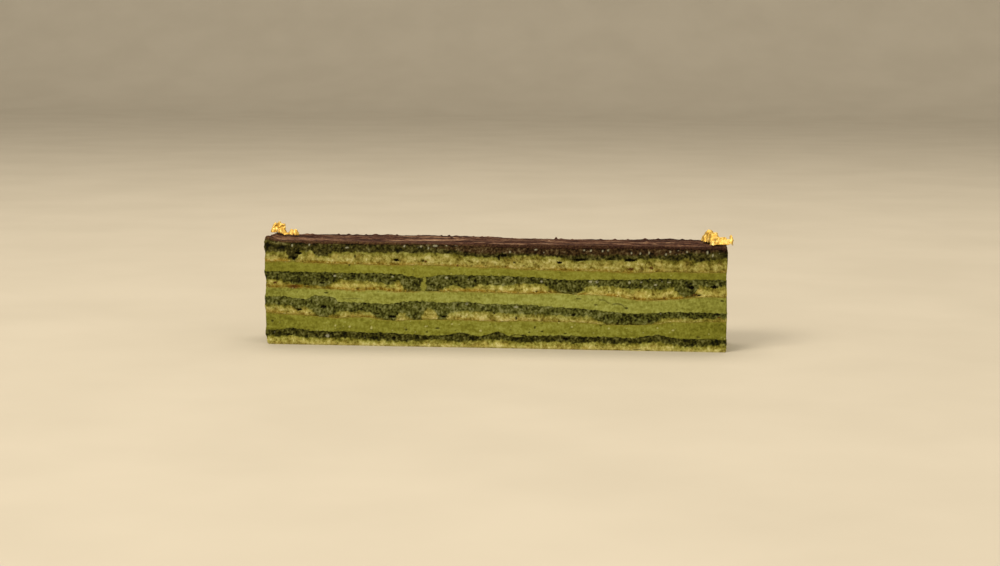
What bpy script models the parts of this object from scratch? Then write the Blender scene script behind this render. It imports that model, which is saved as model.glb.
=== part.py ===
"""A cut bar of matcha opera cake: four syrup-soaked sponge sheets, three layers
of matcha butter cream, a combed chocolate glaze and two flakes of gold leaf.

Metres, +Z up. X runs along the bar, -Y is the cut side that faces the viewer.
The origin is the middle of the flat underside.
"""
import math

import bmesh
import bpy

# ---------------------------------------------------------------- sizes (m)
LENGTH = 0.1380          # bar, end to end
DEPTH = 0.0215           # bar, front cut face to back cut face
HEIGHT = 0.0315          # underside to the general level of the glaze
GAP = 0.0003             # between neighbouring layers

STEPS_X = 48             # segments of a layer along the bar
STEPS_Y = 3              # and across it
GLAZE_STEPS_Y = 10       # the combed glaze needs more of them

MM = 0.001

# Each boundary between two layers is a gently waved surface. It is given by its
# height at the left and at the right end (mm) and by the swells on it:
# (place along the bar, half width, rise), all in mm from the left end.
BOUNDARIES = {
    "glaze_top": (31.5, 31.5, [(0, 2.8, 1.05), (30, 18, 0.12), (64, 20, -0.1),
                               (100, 16, 0.1)]),
    "glaze_foot": (30.5, 30.5, [(0, 3.4, 1.0), (49, 9, 0.2), (84, 12, -0.3),
                                (122, 14, 0.05)]),
    "sponge_1_foot": (25.4, 23.9, [(100, 20, -0.25), (47, 12, 0.1)]),
    "cream_1_foot": (22.1, 21.5, [(46.5, 4.5, -1.1), (92, 11, -0.85),
                                  (108, 6, -0.35)]),
    "sponge_2_foot": (17.6, 16.9, [(26, 9, -0.2), (33.5, 3.5, 0.45),
                                   (42, 6, -0.55), (70, 22, -0.2),
                                   (114, 12, -1.05)]),
    "cream_2_foot": (14.4, 11.6, [(4, 4, 0.3), (17.8, 3.4, 1.5), (26, 14, -0.85),
                                  (36, 4, -0.45), (47, 5, 0.45), (60, 4, 0.6),
                                  (75, 9, 0.45), (109, 11, -1.05)]),
    "sponge_3_foot": (9.9, 9.4, [(42, 26, -1.05), (68, 16, -0.25),
                                 (94, 24, -1.05)]),
    "cream_3_foot": (4.3, 3.4, [(8, 3.5, 0.75), (50, 8, -0.6), (59.5, 3, 0.45),
                                (64, 3, -0.45), (70, 2.8, 1.1), (88, 5, 0.3),
                                (104, 5, 0.25), (116, 6, 0.95)]),
}
# Smaller changes on top of the swells: (place along the bar, change), mm, with
# straight lines between them
CHANGES = {
    "sponge_1_foot": [(0, -0.1), (8, 0.0), (12, -0.25), (20, -0.35), (30, -0.42),
                      (40, -0.45), (48, -0.2), (56, -0.25), (64, -0.4),
                      (72, -0.3), (78, -0.65), (86, -0.5), (100, -0.35),
                      (111, -0.6), (118, -0.2), (128, -0.25), (138, -0.05)],
    "sponge_2_foot": [(0, -0.2), (10, -0.05), (18, -0.3), (28, -0.5), (37, -0.5),
                      (41, -0.15), (46, -0.1), (52, -0.35), (60, -0.05),
                      (70, -0.2), (79, -0.4), (86, 0.0), (94, -0.4),
                      (103, -0.15), (107, -0.3), (113, -0.75), (124, -0.65),
                      (128, -0.3), (138, -0.5)],
    "sponge_3_foot": [(0, 0.0), (6, -0.4), (12, -0.5), (16, -0.75), (22, -0.9),
                      (26, -0.3), (31, -0.25), (36, -0.8), (40, -0.9),
                      (44, -0.5), (50, -0.2), (62, -0.3), (70, -0.6), (76, -0.2),
                      (96, -0.2), (102, -0.9), (108, -1.0), (114, -1.1),
                      (118, -0.9), (121, -0.3), (127, -0.4), (134, -0.1),
                      (138, -0.2)],
    "cream_3_foot": [(0, 0.0), (36, 0.0), (38, 0.3), (40, -0.1), (47, 0.0),
                     (58, 0.3), (61, 0.1), (70, 0.0), (73, -0.5), (76, 0.5),
                     (79, 0.2), (84, 0.0), (91, 0.25), (104, 0.15), (110, -0.25),
                     (114, -0.1), (118, 0.6), (120, 0.3), (124, 0.05),
                     (128, 0.35), (138, 0.38)],
}
DRIFT = 0.32             # how far a swell wanders along the bar per metre of depth
FADE = 0.35              # how much lower the swells are at the back face
BACK_WAVE = 0.35 * MM    # a slow wave that only the back face has
BACK_WAVE_LENGTH = 0.046

# How far each layer reaches past the nominal end of the bar (mm), left and right
ENDS = {
    "glaze": (0.5, -0.5),
    "sponge_1": (0.7, -0.1),
    "cream_1": (0.7, -0.3),
    "sponge_2": (0.4, -0.3),
    "cream_2": (0.5, -0.1),
    "sponge_3": (0.7, 0.1),
    "cream_3": (0.4, 0.0),
    "sponge_4": (0.3, -0.1),
}

LAYERS = [  # name, upper boundary, lower boundary
    ("glaze", "glaze_top", "glaze_foot"),
    ("sponge_1", "glaze_foot", "sponge_1_foot"),
    ("cream_1", "sponge_1_foot", "cream_1_foot"),
    ("sponge_2", "cream_1_foot", "sponge_2_foot"),
    ("cream_2", "sponge_2_foot", "cream_2_foot"),
    ("sponge_3", "cream_2_foot", "sponge_3_foot"),
    ("cream_3", "sponge_3_foot", "cream_3_foot"),
    ("sponge_4", "cream_3_foot", "underside"),
]

# The glaze was drawn out lengthwise: low parallel ridges that wander
COMB_PITCH = 0.0042
COMB_HEIGHT = 0.00016

# The two flakes of leaf: start and end of the strip (x, y), width, and the
# height of the crumple along the strip, as (place 0..1, half width, height)
LEAVES = {
    "gold_leaf_left": {
        "start": (-0.0701, 0.0046), "end": (-0.0614, 0.0032), "bow": 0.0006,
        "width": (0.0046, 0.0030),
        "lumps": [(0.05, 0.09, 2.2), (0.27, 0.13, 3.5), (0.50, 0.10, 2.8),
                  (0.86, 0.13, 1.7)],
        "folds": 3.0,
    },
    "gold_leaf_right": {
        "start": (0.0620, 0.0010), "end": (0.0703, -0.0080), "bow": -0.0012,
        "width": (0.0052, 0.0032),
        "lumps": [(0.06, 0.10, 3.0), (0.25, 0.15, 3.6), (0.55, 0.13, 2.4),
                  (0.84, 0.08, 2.2), (1.00, 0.06, 2.9)],
        "folds": 3.0,
    },
}
LEAF_THICKNESS = 0.00028
LEAF_STEPS = (18, 10)

COLOURS = {  # base colour, roughness, metallic
    "glaze": ((0.062, 0.027, 0.015), 0.4, 0.0),
    "sponge": ((0.15, 0.14, 0.035), 0.85, 0.0),
    "cream": ((0.2, 0.195, 0.03), 0.55, 0.0),
    "gold": ((0.95, 0.72, 0.24), 0.3, 1.0),
}


# ------------------------------------------------------------- the surfaces
def boundary(name, x, y):
    """Height of the named boundary above the underside at a place on the bar."""
    if name == "underside":
        return 0.0
    left, right, swells = BOUNDARIES[name]
    back = (y + DEPTH / 2) / DEPTH                      # 0 at the front face
    place = (x + LENGTH / 2 + DRIFT * (y + DEPTH / 2)) / MM
    along = min(max((x + LENGTH / 2) / LENGTH, 0.0), 1.0)
    height = left + (right - left) * along
    for at, half, rise in swells:
        height += (1 - FADE * back) * rise * math.exp(-((place - at) / half) ** 2)
    height += (1 - FADE * back) * change(name, place)
    height *= MM
    if name not in ("glaze_top", "glaze_foot"):
        phase = 2 * math.pi * x / BACK_WAVE_LENGTH + len(name) + left
        height += back * BACK_WAVE * math.sin(phase)
    if name == "glaze_top":
        height += comb(x, y)
    return height


def change(name, place):
    """The smaller change of a boundary at a place along the bar (mm)."""
    table = CHANGES.get(name)
    if table is None:
        return 0.0
    if place <= table[0][0]:
        return table[0][1]
    for (a, da), (b, db) in zip(table, table[1:]):
        if place <= b:
            return da + (db - da) * (place - a) / (b - a)
    return table[-1][1]


def comb(x, y):
    """Ridges left by drawing the soft glaze along the bar."""
    wander = 0.0011 * math.sin(x / 0.017 + 0.8) + 0.0007 * math.sin(x / 0.0061)
    return COMB_HEIGHT * math.sin(2 * math.pi * (y + wander) / COMB_PITCH)


def collection(name):
    made = bpy.data.collections.new(name)
    bpy.context.scene.collection.children.link(made)
    return made


def material(name):
    made = bpy.data.materials.new(name)
    made.use_nodes = True
    colour, roughness, metallic = COLOURS[name]
    shader = made.node_tree.nodes["Principled BSDF"]
    shader.inputs["Base Color"].default_value = (*colour, 1.0)
    shader.inputs["Roughness"].default_value = roughness
    shader.inputs["Metallic"].default_value = metallic
    made.diffuse_color = (*colour, 1.0)
    return made


def add_object(name, mesh, group, finish):
    mesh.materials.append(finish)
    made = bpy.data.objects.new(name, mesh)
    group.objects.link(made)
    return made


# --------------------------------------------------------------- the layers
def layer(name, upper, lower, group, finish):
    """A cube cut into a grid, with its top and foot drawn to their boundaries."""
    bm = bmesh.new()
    bmesh.ops.create_cube(bm, size=2.0)
    across = GLAZE_STEPS_Y if name == "glaze" else STEPS_Y
    for axis, cuts in ((0, STEPS_X - 1), (1, across - 1)):
        edges = [e for e in bm.edges
                 if abs(e.verts[0].co[axis] - e.verts[1].co[axis]) > 1e-6]
        bmesh.ops.subdivide_edges(bm, edges=edges, cuts=cuts, use_grid_fill=True)
    out_left, out_right = (MM * out for out in ENDS[name])
    for v in bm.verts:
        u, w, t = v.co
        x = u * LENGTH / 2
        y = w * DEPTH / 2
        if t > 0:
            z = boundary(upper, x, y) - (GAP / 2 if upper != "glaze_top" else 0.0)
        else:
            z = boundary(lower, x, y) + (GAP / 2 if lower != "underside" else 0.0)
        if u > 0:
            x += u ** 12 * out_right
        else:
            x -= u ** 12 * out_left
        v.co = (x, y, z)
    bmesh.ops.triangulate(bm, faces=bm.faces)
    mesh = bpy.data.meshes.new(name)
    bm.to_mesh(mesh)
    bm.free()
    return add_object(name, mesh, group, finish)


# ------------------------------------------------------------ the gold leaf
def leaf(name, spec, group, finish):
    """A strip of leaf laid over the glaze and crumpled up into folds."""
    along, across = LEAF_STEPS
    bm = bmesh.new()
    bmesh.ops.create_grid(bm, x_segments=along, y_segments=across, size=1.0)
    (x0, y0), (x1, y1) = spec["start"], spec["end"]
    run = math.hypot(x1 - x0, y1 - y0)
    side = (-(y1 - y0) / run, (x1 - x0) / run)
    for v in bm.verts:
        u = (v.co.x + 1) / 2
        w = v.co.y
        width = spec["width"][0] * (1 - u) + spec["width"][1] * u
        width *= 0.86 + 0.14 * math.sin(9.0 * u + 1.3)
        edge = 1 - abs(w) ** 3
        offset = w * width / 2 + spec["bow"] * math.sin(math.pi * u)
        ruffle = 0.00025 * math.sin(11 * u + 4 * w)
        x = x0 + (x1 - x0) * u + side[0] * (offset + ruffle)
        y = y0 + (y1 - y0) * u + side[1] * (offset + ruffle)
        rise = 0.35
        for at, half, height in spec["lumps"]:
            rise = max(rise, height * math.exp(-((u - at) / half) ** 2))
        fold = 0.62 + 0.38 * math.cos(spec["folds"] * math.pi * w + 5 * u)
        ground = HEIGHT + COMB_HEIGHT + 0.0004
        if x < -LENGTH / 2 + 0.005:
            ground += 0.00105 * math.exp(-((x + LENGTH / 2) / 0.0028) ** 2)
        z = ground + MM * rise * (0.25 + 0.75 * edge) * fold
        v.co = (x, y, z)
    mesh = bpy.data.meshes.new(name)
    bm.to_mesh(mesh)
    bm.free()
    made = add_object(name, mesh, group, finish)
    thick = made.modifiers.new("thickness", "SOLIDIFY")
    thick.thickness = LEAF_THICKNESS
    thick.offset = 1.0
    tri = made.modifiers.new("facets", "TRIANGULATE")
    tri.quad_method = "BEAUTY"
    return made


def build():
    for old in list(bpy.data.objects):
        bpy.data.objects.remove(old, do_unlink=True)
    group = collection("matcha_opera_cake")
    finishes = {name: material(name) for name in COLOURS}
    for name, upper, lower in LAYERS:
        layer(name, upper, lower, group, finishes[name.split("_")[0]])
    for name, spec in LEAVES.items():
        leaf(name, spec, group, finishes["gold"])


build()
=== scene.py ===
"""Looks for the cut bar of matcha opera cake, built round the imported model."""
import math

import bpy
import numpy as np
from mathutils import Matrix, Vector


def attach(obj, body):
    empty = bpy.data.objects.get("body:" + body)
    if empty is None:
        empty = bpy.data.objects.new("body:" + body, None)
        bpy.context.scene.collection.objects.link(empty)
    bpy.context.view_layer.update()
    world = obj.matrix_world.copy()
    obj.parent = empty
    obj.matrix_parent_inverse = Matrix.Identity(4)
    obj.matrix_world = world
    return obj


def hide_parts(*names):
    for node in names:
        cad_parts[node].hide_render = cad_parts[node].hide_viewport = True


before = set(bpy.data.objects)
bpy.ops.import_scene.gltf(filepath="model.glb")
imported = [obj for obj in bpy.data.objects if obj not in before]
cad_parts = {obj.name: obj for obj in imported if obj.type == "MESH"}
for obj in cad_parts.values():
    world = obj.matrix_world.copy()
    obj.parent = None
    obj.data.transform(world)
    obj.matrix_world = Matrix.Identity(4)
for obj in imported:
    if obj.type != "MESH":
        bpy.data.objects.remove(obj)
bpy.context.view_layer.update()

# ------------------------------------------------------------------- sizes
# All in millimetres; the finished meshes are turned into metres.
MM = 0.001
L, D, H = 138.0, 21.5, 31.5
STEP = 0.20
NX, NY = round(L / STEP), round(D / STEP)
INSET = 0.17             # room that the uneven cut faces keep to the model's box

# Boundaries between layers: height at the left and right end, and the swells
# (place from the left end, half width, rise), as in the solids they replace.
BOUNDARIES = {
    "glaze_top": (31.5, 31.5, [(0, 2.8, 1.05), (30, 18, 0.12), (64, 20, -0.1),
                               (100, 16, 0.1)]),
    "glaze_foot": (30.6, 30.5, [(0, 3.4, 1.15), (7, 5, 0.35), (26, 14, 0.22),
                                (49, 9, 0.42),
                                (84, 12, -0.35), (122, 14, 0.05)]),
    "sponge_1_foot": (25.4, 23.9, [(100, 20, -0.25), (47, 12, 0.1)]),
    "cream_1_foot": (22.1, 21.5, [(46.5, 4.5, -1.1), (92, 11, -0.85),
                                  (108, 6, -0.35)]),
    "sponge_2_foot": (17.6, 16.9, [(26, 9, -0.2), (33.5, 3.5, 0.45),
                                   (42, 6, -0.55), (70, 22, -0.2),
                                   (114, 12, -1.05)]),
    "cream_2_foot": (14.4, 11.6, [(4, 4, 0.3), (26, 14, -0.85), (36, 4, -0.45),
                                  (47, 5, 0.45), (60, 4, 0.6), (75, 9, 0.45),
                                  (109, 11, -1.05)]),
    "sponge_3_foot": (9.9, 9.4, [(42, 26, -1.05), (68, 16, -0.25),
                                 (94, 24, -1.05)]),
    "cream_3_foot": (4.3, 3.4, [(8, 3.5, 0.75), (50, 8, -0.6), (59.5, 3, 0.45),
                                (64, 3, -0.45), (70, 2.8, 1.1), (88, 5, 0.3),
                                (104, 5, 0.25), (116, 6, 0.95)]),
}
# Smaller changes on top of the swells: (place, change), straight lines between
CHANGES = {
    "sponge_1_foot": [(0, -0.1), (8, 0.0), (12, -0.25), (20, -0.35), (30, -0.42),
                      (40, -0.45), (48, -0.2), (56, -0.25), (64, -0.4),
                      (72, -0.3), (78, -0.65), (86, -0.5), (100, -0.35),
                      (111, -0.6), (118, -0.2), (128, -0.25), (138, -0.05)],
    "sponge_2_foot": [(0, -0.2), (10, -0.05), (18, -0.3), (28, -0.5), (37, -0.5),
                      (41, -0.15), (46, -0.1), (52, -0.35), (60, -0.05),
                      (70, -0.2), (79, -0.4), (86, 0.0), (94, -0.4),
                      (103, -0.15), (107, -0.3), (113, -0.75), (124, -0.65),
                      (128, -0.3), (138, -0.5)],
    "sponge_3_foot": [(0, 0.0), (6, -0.4), (12, -0.5), (16, -0.75), (22, -0.9),
                      (26, -0.3), (31, -0.25), (36, -0.8), (40, -0.9),
                      (44, -0.5), (50, -0.2), (62, -0.3), (70, -0.6), (76, -0.2),
                      (96, -0.2), (102, -0.9), (108, -1.0), (114, -1.1),
                      (118, -0.9), (121, -0.3), (127, -0.4), (134, -0.1),
                      (138, -0.2)],
    "cream_3_foot": [(0, 0.0), (36, 0.0), (38, 0.3), (40, -0.1), (47, 0.0),
                     (58, 0.3), (61, 0.1), (70, 0.0), (73, -0.5), (76, 0.5),
                     (79, 0.2), (84, 0.0), (91, 0.25), (104, 0.15), (110, -0.25),
                     (114, -0.1), (118, 0.6), (120, 0.3), (124, 0.05),
                     (128, 0.35), (138, 0.38)],
}
SHOULDERS = {  # a block of crumb with steep sides: rise between these places
    "cream_2_foot": [(12.4, 14.6, 20.8, 21.6, 1.30)],
}
DRIFT, FADE, BACK_WAVE, BACK_WAVE_LENGTH = 0.32, 0.35, 0.35, 46.0

# Outline of the two end faces: height, and how far it stands out there
LEFT_END = [(0, -0.20), (1.0, 0.05), (2.0, 0.15), (2.9, 0.45), (4.4, 0.45),
            (5.6, 0.33), (10, 0.45), (11.6, 0.70), (14.4, 0.65), (15.6, 0.42),
            (17.5, 0.30), (19.5, 0.25), (20.3, 0.40), (22.0, 0.78),
            (23.0, 0.62), (26.0, 0.60), (27.5, 0.42), (28.4, 0.62), (29.4, 0.85),
            (30.6, 0.78), (31.4, 0.60), (32.4, 0.40)]
RIGHT_END = [(0, 0.0), (1.0, 0.05), (5.0, 0.05), (9.0, 0.15), (11.0, 0.15),
             (14.0, 0.05), (17.0, 0.0), (19.0, -0.12), (21.0, -0.20), (23.5, -0.20),
             (25.0, -0.02), (28.0, 0.08), (30.0, -0.08), (31.6, -0.28)]

# How far down each sponge the green syrup sank, at places along the front:
# (place, height of its lower edge), straight between them.
SOAKED = {
    "sponge_1": [(0, 28.3), (6, 28.1), (7.2, 26.0), (8.9, 25.8), (10, 28.4),
                 (14, 28.6), (15.4, 27.2), (18, 27.1), (20, 28.3), (34, 28.5),
                 (55, 28.4), (61, 27.7), (72, 27.4), (75, 28.1), (80, 28.3),
                 (88, 27.8), (91, 27.2), (94, 26.6), (97, 27.1), (105, 27.2),
                 (113, 27.6), (118, 27.6), (123, 27.2), (126, 27.9),
                 (129, 26.9), (133, 27.6), (138, 28.1)],
    "sponge_2": [(0, 19.9), (4, 19.7), (6, 19.0), (10, 18.5), (13, 18.1),
                 (18, 17.9), (20, 19.0), (22, 20.0), (25, 20.1), (33, 19.5),
                 (36, 18.8), (38, 19.0), (39.5, 20.0), (41, 19.4), (42.4, 16.6),
                 (45.6, 16.2), (49, 16.4), (52.4, 16.6), (54, 18.2), (57, 18.9),
                 (59.5, 18.0), (62, 18.4), (64, 19.3), (72, 19.0), (76, 19.7),
                 (84, 19.5), (86, 18.3), (88, 17.2), (91, 16.6), (94, 16.9),
                 (96, 18.4), (98, 19.3), (105, 19.3), (110, 18.3), (113, 18.9),
                 (118, 18.6), (122, 19.4), (124, 17.2), (126, 16.0),
                 (128.4, 16.3), (129.6, 19.8), (135, 19.4), (138, 20.0)],
    "sponge_3": [(0, 12.4), (4, 12.2), (8, 11.9), (9.5, 10.7), (11, 11.9),
                 (13.6, 10.8), (16, 8.6), (18, 8.3), (20, 9.2), (22, 10.5),
                 (31, 10.3), (34, 8.7), (36, 7.9), (38.6, 7.7), (40, 10.2),
                 (42, 10.3), (44, 8.2), (46.5, 8.0), (47.6, 10.4), (48.6, 11.7),
                 (51, 11.4), (52.2, 8.4), (54.4, 8.4), (55.5, 10.8), (60, 11.1),
                 (70, 11.0), (75, 10.5), (85, 10.6), (90, 10.3), (92.5, 10.0),
                 (95, 10.4), (98, 10.0), (100, 8.9), (102, 7.9), (106, 7.5),
                 (113, 7.6), (116, 8.3), (118, 9.7), (123, 10.3), (128, 9.8),
                 (135, 10.2), (138, 10.6)],
    "sponge_4": [(0, 2.7), (4, 2.3), (8, 3.0), (12, 2.3), (20, 2.2), (25, 2.3),
                 (30, 2.0), (39, 1.7), (42, 1.5), (45, 2.0), (53, 2.4),
                 (57, 1.8), (60, 2.0), (64, 2.4), (71, 2.8), (75, 2.1),
                 (78, 1.8), (81, 2.1), (88, 2.6), (93, 1.9), (100, 2.5),
                 (105, 2.1), (112, 2.3), (117, 2.9), (122, 2.2), (125, 1.5),
                 (132, 1.9), (138, 2.4)],
}
# How strongly the baked underside of each sponge shows: place, strength
BAKED = {
    "sponge_1": [(0, 1.0), (6, 0.9), (8, 0.3), (11, 0.8), (22, 0.9), (30, 0.6),
                 (36, 0.9), (45, 0.7), (50, 0.6), (60, 0.8), (75, 0.8),
                 (80, 0.5), (90, 0.9), (105, 0.8), (109, 1.0), (112, 0.3),
                 (115, 0.8), (120, 0.4), (130, 0.5), (138, 0.5)],
    "sponge_2": [(0, 0.5), (4, 0.9), (10, 1.0), (19, 0.6), (22, 1.0), (45, 1.0),
                 (48, 0.2), (52, 0.9), (60, 1.0), (86, 0.9), (90, 0.5),
                 (100, 0.5), (104, 1.0), (126, 1.0), (130, 0.3), (138, 0.4)],
    "sponge_3": [(0, 0.8), (10, 0.8), (16, 0.4), (20, 0.7), (34, 0.6), (40, 0.4),
                 (60, 0.7), (75, 0.5), (90, 0.3), (138, 0.4)],
    "sponge_4": [(0, 0.7), (138, 0.7)],
}
# Holes in the front face: place, height, half width, half height
HOLES = {
    "sponge_1": [(9.4, 27.8, 1.0, 0.38), (8.1, 26.3, 0.6, 0.6),
                 (39.3, 26.1, 0.85, 0.42), (40.2, 25.8, 0.35, 0.3),
                 (47.2, 26.0, 0.45, 0.32), (71.3, 28.0, 1.15, 0.38),
                 (74.6, 25.9, 0.42, 0.38), (88.0, 26.1, 0.8, 0.38),
                 (94.0, 27.0, 1.5, 0.32), (109.0, 27.1, 1.75, 0.40),
                 (61.8, 24.7, 0.30, 0.26), (66.0, 24.7, 0.30, 0.26),
                 (72.0, 24.7, 0.30, 0.25), (79.0, 24.6, 0.3, 0.2),
                 (103.4, 27.2, 1.0, 0.22), (26.6, 26.9, 0.3, 0.5),
                 (70.0, 27.2, 0.3, 0.9)],
    "sponge_2": [(134.0, 19.5, 0.95, 0.42), (81.3, 17.3, 0.5, 0.30),
                 (85.0, 17.4, 0.4, 0.25),
                 (62.9, 20.2, 0.45, 0.45), (16.6, 18.9, 0.8, 0.28),
                 (129.6, 17.0, 1.0, 0.24), (127.4, 19.2, 0.8, 0.5),
                 (9.6, 20.2, 0.6, 0.3), (69.4, 17.3, 0.5, 0.2)],
    "sponge_3": [(17.0, 11.6, 0.9, 0.38), (9.7, 10.7, 1.0, 0.30),
                 (75.3, 9.2, 0.35, 0.55), (92.4, 10.4, 0.6, 0.40),
                 (38.0, 9.0, 1.0, 0.35), (83.0, 8.8, 0.45, 0.28),
                 (68.6, 10.6, 0.8, 0.25), (53.6, 9.2, 1.2, 0.25)],
    "sponge_4": [(90.0, 3.2, 0.9, 0.38), (38.4, 2.6, 0.7, 0.32),
                 (41.4, 0.35, 0.8, 0.12), (22.0, 0.32, 0.8, 0.10),
                 (111.5, 0.42, 1.2, 0.14), (54.4, 0.3, 0.8, 0.08),
                 (6.0, 3.1, 1.6, 0.18)],
    "cream_1": [(24.9, 24.4, 0.25, 0.25)],
    "cream_2": [(17.9, 15.85, 0.6, 0.18), (108.2, 12.7, 0.45, 0.30),
                (136.4, 15.4, 0.6, 0.28), (93.8, 15.3, 0.8, 0.14),
                (99.0, 13.6, 0.5, 0.2)],
    "cream_3": [(80.9, 6.5, 0.26, 0.38), (83.0, 5.3, 0.45, 0.20),
                (79.2, 5.0, 0.28, 0.2), (42.1, 5.1, 0.30, 0.28),
                (51.6, 5.7, 0.7, 0.22), (48.4, 4.5, 0.25, 0.25),
                (90.0, 4.8, 0.45, 0.14), (1.4, 7.1, 0.4, 0.35),
                (100.6, 7.3, 0.4, 0.12), (129.6, 4.4, 0.7, 0.22)],
}
# Brown and dark-red smears of baked skin on the front face
SMEARS = {
    "cream_2": [(8.0, 17.35, 1.5, 0.24)],
    "sponge_2": [(8.0, 17.85, 1.4, 0.40), (2.3, 18.8, 0.6, 0.3),
                 (128.6, 17.1, 1.3, 0.26)],
    "sponge_1": [(109.2, 24.5, 1.1, 0.42), (115.4, 24.9, 0.6, 0.40),
                 (48.0, 25.9, 0.5, 0.3), (57.6, 24.8, 0.4, 0.35)],
    "sponge_3": [(135.4, 10.4, 0.5, 0.2)],
}
# Light specks on the front face: painted glints of wet crumb on the sponges, light crumbs
# on the cream; place, height, half width, half height
SPECKS_AND_GLINTS = {
    "sponge_1": [(7.6, 30.1, 0.22, 0.42), (12.8, 30.4, 0.2, 0.45),
                 (24.2, 29.7, 0.55, 0.22), (50.8, 30.6, 0.75, 0.3),
                 (54.3, 30.9, 0.25, 0.35), (48.8, 29.9, 0.2, 0.35),
                 (46.6, 30.3, 0.3, 0.3), (41.6, 30.4, 0.3, 0.3),
                 (57.4, 30.9, 0.9, 0.22), (81.0, 29.9, 0.4, 0.25),
                 (73.3, 29.1, 0.25, 0.35), (95.8, 30.7, 1.4, 0.15),
                 (95.4, 29.9, 0.25, 0.3), (97.4, 29.8, 0.3, 0.35),
                 (100.9, 29.8, 0.25, 0.3), (102.5, 29.9, 0.25, 0.3),
                 (109.4, 29.2, 0.2, 0.35), (112.0, 29.2, 0.25, 0.3),
                 (114.6, 29.4, 0.22, 0.45), (119.6, 29.0, 0.3, 0.3),
                 (120.9, 29.8, 0.25, 0.3), (125.8, 29.9, 0.25, 0.3),
                 (131.8, 29.8, 0.30, 0.5), (133.4, 28.9, 0.25, 0.45)],
    "sponge_2": [(97.4, 20.55, 0.5, 0.35), (99.3, 20.5, 0.5, 0.35),
                 (82.8, 20.35, 0.35, 0.3), (108.9, 20.45, 0.3, 0.4),
                 (120.6, 20.7, 0.5, 0.2), (54.3, 21.1, 0.45, 0.3),
                 (38.0, 21.1, 0.35, 0.25), (112.4, 20.6, 0.3, 0.22),
                 (20.5, 21.1, 0.4, 0.3), (116.6, 19.9, 0.5, 0.2)],
    "sponge_3": [(75.2, 12.6, 0.6, 0.25), (60.4, 13.3, 0.4, 0.25)],
    "sponge_4": [(18.2, 2.9, 0.55, 0.5)],
    "cream_3": [(64.6, 5.2, 0.45, 0.35), (25.0, 5.8, 0.35, 0.3),
                (20.6, 6.0, 0.3, 0.25), (31.6, 5.5, 0.3, 0.5),
                (92.0, 6.9, 0.3, 0.25), (103.0, 6.6, 0.3, 0.25),
                (122.0, 6.4, 0.4, 0.25), (117.4, 7.0, 0.25, 0.25),
                (56.0, 7.1, 0.3, 0.2), (48.0, 6.2, 0.3, 0.2)],
}
# Cream that shows in breaks of the sponge: place, height, half width, half height
BREAKS = {
    "sponge_2": [(47.7, 20.3, 0.50, 1.3), (47.3, 18.2, 0.95, 1.5)],
    "sponge_4": [(75.6, 3.75, 1.6, 0.26)],
}
# Broad lighter and darker stretches: place, half width, change.
# The darker ones at the ends of the bar are painted shade, where the light falls off; the rest is the
# layers' own tone.
WET_TONE_AND_END_SHADE = {"sponge_1": [(134, 8, -0.08)], "sponge_2": [(3, 9, -0.12), (68, 8, 0.10)],
            "sponge_3": [(17, 4, 0.12), (70, 24, 0.15), (118, 18, -0.14)],
            "sponge_4": [(95, 10, 0.06), (4, 9, 0.06)]}
DRY_TONE_AND_END_SHADE = {"sponge_1": [(3, 4, 0.14), (42, 16, 0.10), (128, 16, -0.18)],
            "sponge_2": [(14, 14, -0.20), (68, 7, 0.18), (100, 8, 0.15)],
            "sponge_3": [(68, 8, 0.12)],
            "sponge_4": [(40, 9, 0.20), (128, 10, 0.25), (22, 7, -0.15)],
            "cream_1": [(0, 11, -0.42), (40, 16, 0.12), (137, 20, -0.30)],
            "cream_2": [(0, 11, -0.45), (138, 12, -0.38)],
            "cream_3": [(0, 9, -0.28), (85, 30, 0.10), (138, 14, -0.36)]}


# -------------------------------------------------------------- noise tools
_rng = np.random.default_rng(20)
_DIR = _rng.normal(size=(256, 3))
_DIR /= np.linalg.norm(_DIR, axis=1, keepdims=True)
_OFF = _rng.random((256, 3))
_VAL = _rng.random(256)
_PERM = _rng.permutation(256)


def pts(x, y, z):
    return np.stack(np.broadcast_arrays(x, y, z), -1).astype(float)


def _hash(i, seed):
    h = _PERM[(i[..., 0] + seed * 37) & 255]
    h = _PERM[(h + i[..., 1]) & 255]
    return _PERM[(h + i[..., 2]) & 255]


def perlin(p, seed=0):
    """Smooth noise, about -1 to 1, with features one unit apart."""
    i = np.floor(p).astype(np.int64)
    f = p - i
    w = f * f * f * (f * (f * 6 - 15) + 10)
    out = 0.0
    for dx in (0, 1):
        wx = w[..., 0] if dx else 1 - w[..., 0]
        for dy in (0, 1):
            wy = w[..., 1] if dy else 1 - w[..., 1]
            for dz in (0, 1):
                wz = w[..., 2] if dz else 1 - w[..., 2]
                corner = np.array((dx, dy, dz))
                g = _DIR[_hash(i + corner, seed)]
                out = out + wx * wy * wz * ((f - corner) * g).sum(-1)
    return out * 1.6


def fbm(p, seed=0, octaves=3, gain=0.5):
    out, weight, total = 0.0, 1.0, 0.0
    for k in range(octaves):
        out = out + weight * perlin(p * 2.03 ** k + 17.3 * k, seed + k)
        total += weight
        weight *= gain
    return out / total


def even(v):
    """Noise spread to 0..1 round 0.5, so that ramps are used in full."""
    return np.clip(0.5 + 0.25 * (v - v.mean()) / (v.std() + 1e-9), 0, 1)


def cells(p, seed=0):
    """Distance to the nearest scattered point, and two random numbers for it."""
    i = np.floor(p).astype(np.int64)
    best = np.full(p.shape[:-1], 9.0)
    who = np.zeros(p.shape[:-1], np.int64)
    for dx in (-1, 0, 1):
        for dy in (-1, 0, 1):
            for dz in (-1, 0, 1):
                c = i + np.array((dx, dy, dz))
                h = _hash(c, seed)
                d = np.sqrt(((c + _OFF[h] - p) ** 2).sum(-1))
                near = d < best
                best = np.where(near, d, best)
                who = np.where(near, h, who)
    return best, _VAL[who], _VAL[(who * 7 + 3) & 255]


def smooth(lo, hi, x):
    t = np.clip((x - lo) / (hi - lo), 0, 1)
    return t * t * (3 - 2 * t)


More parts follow.
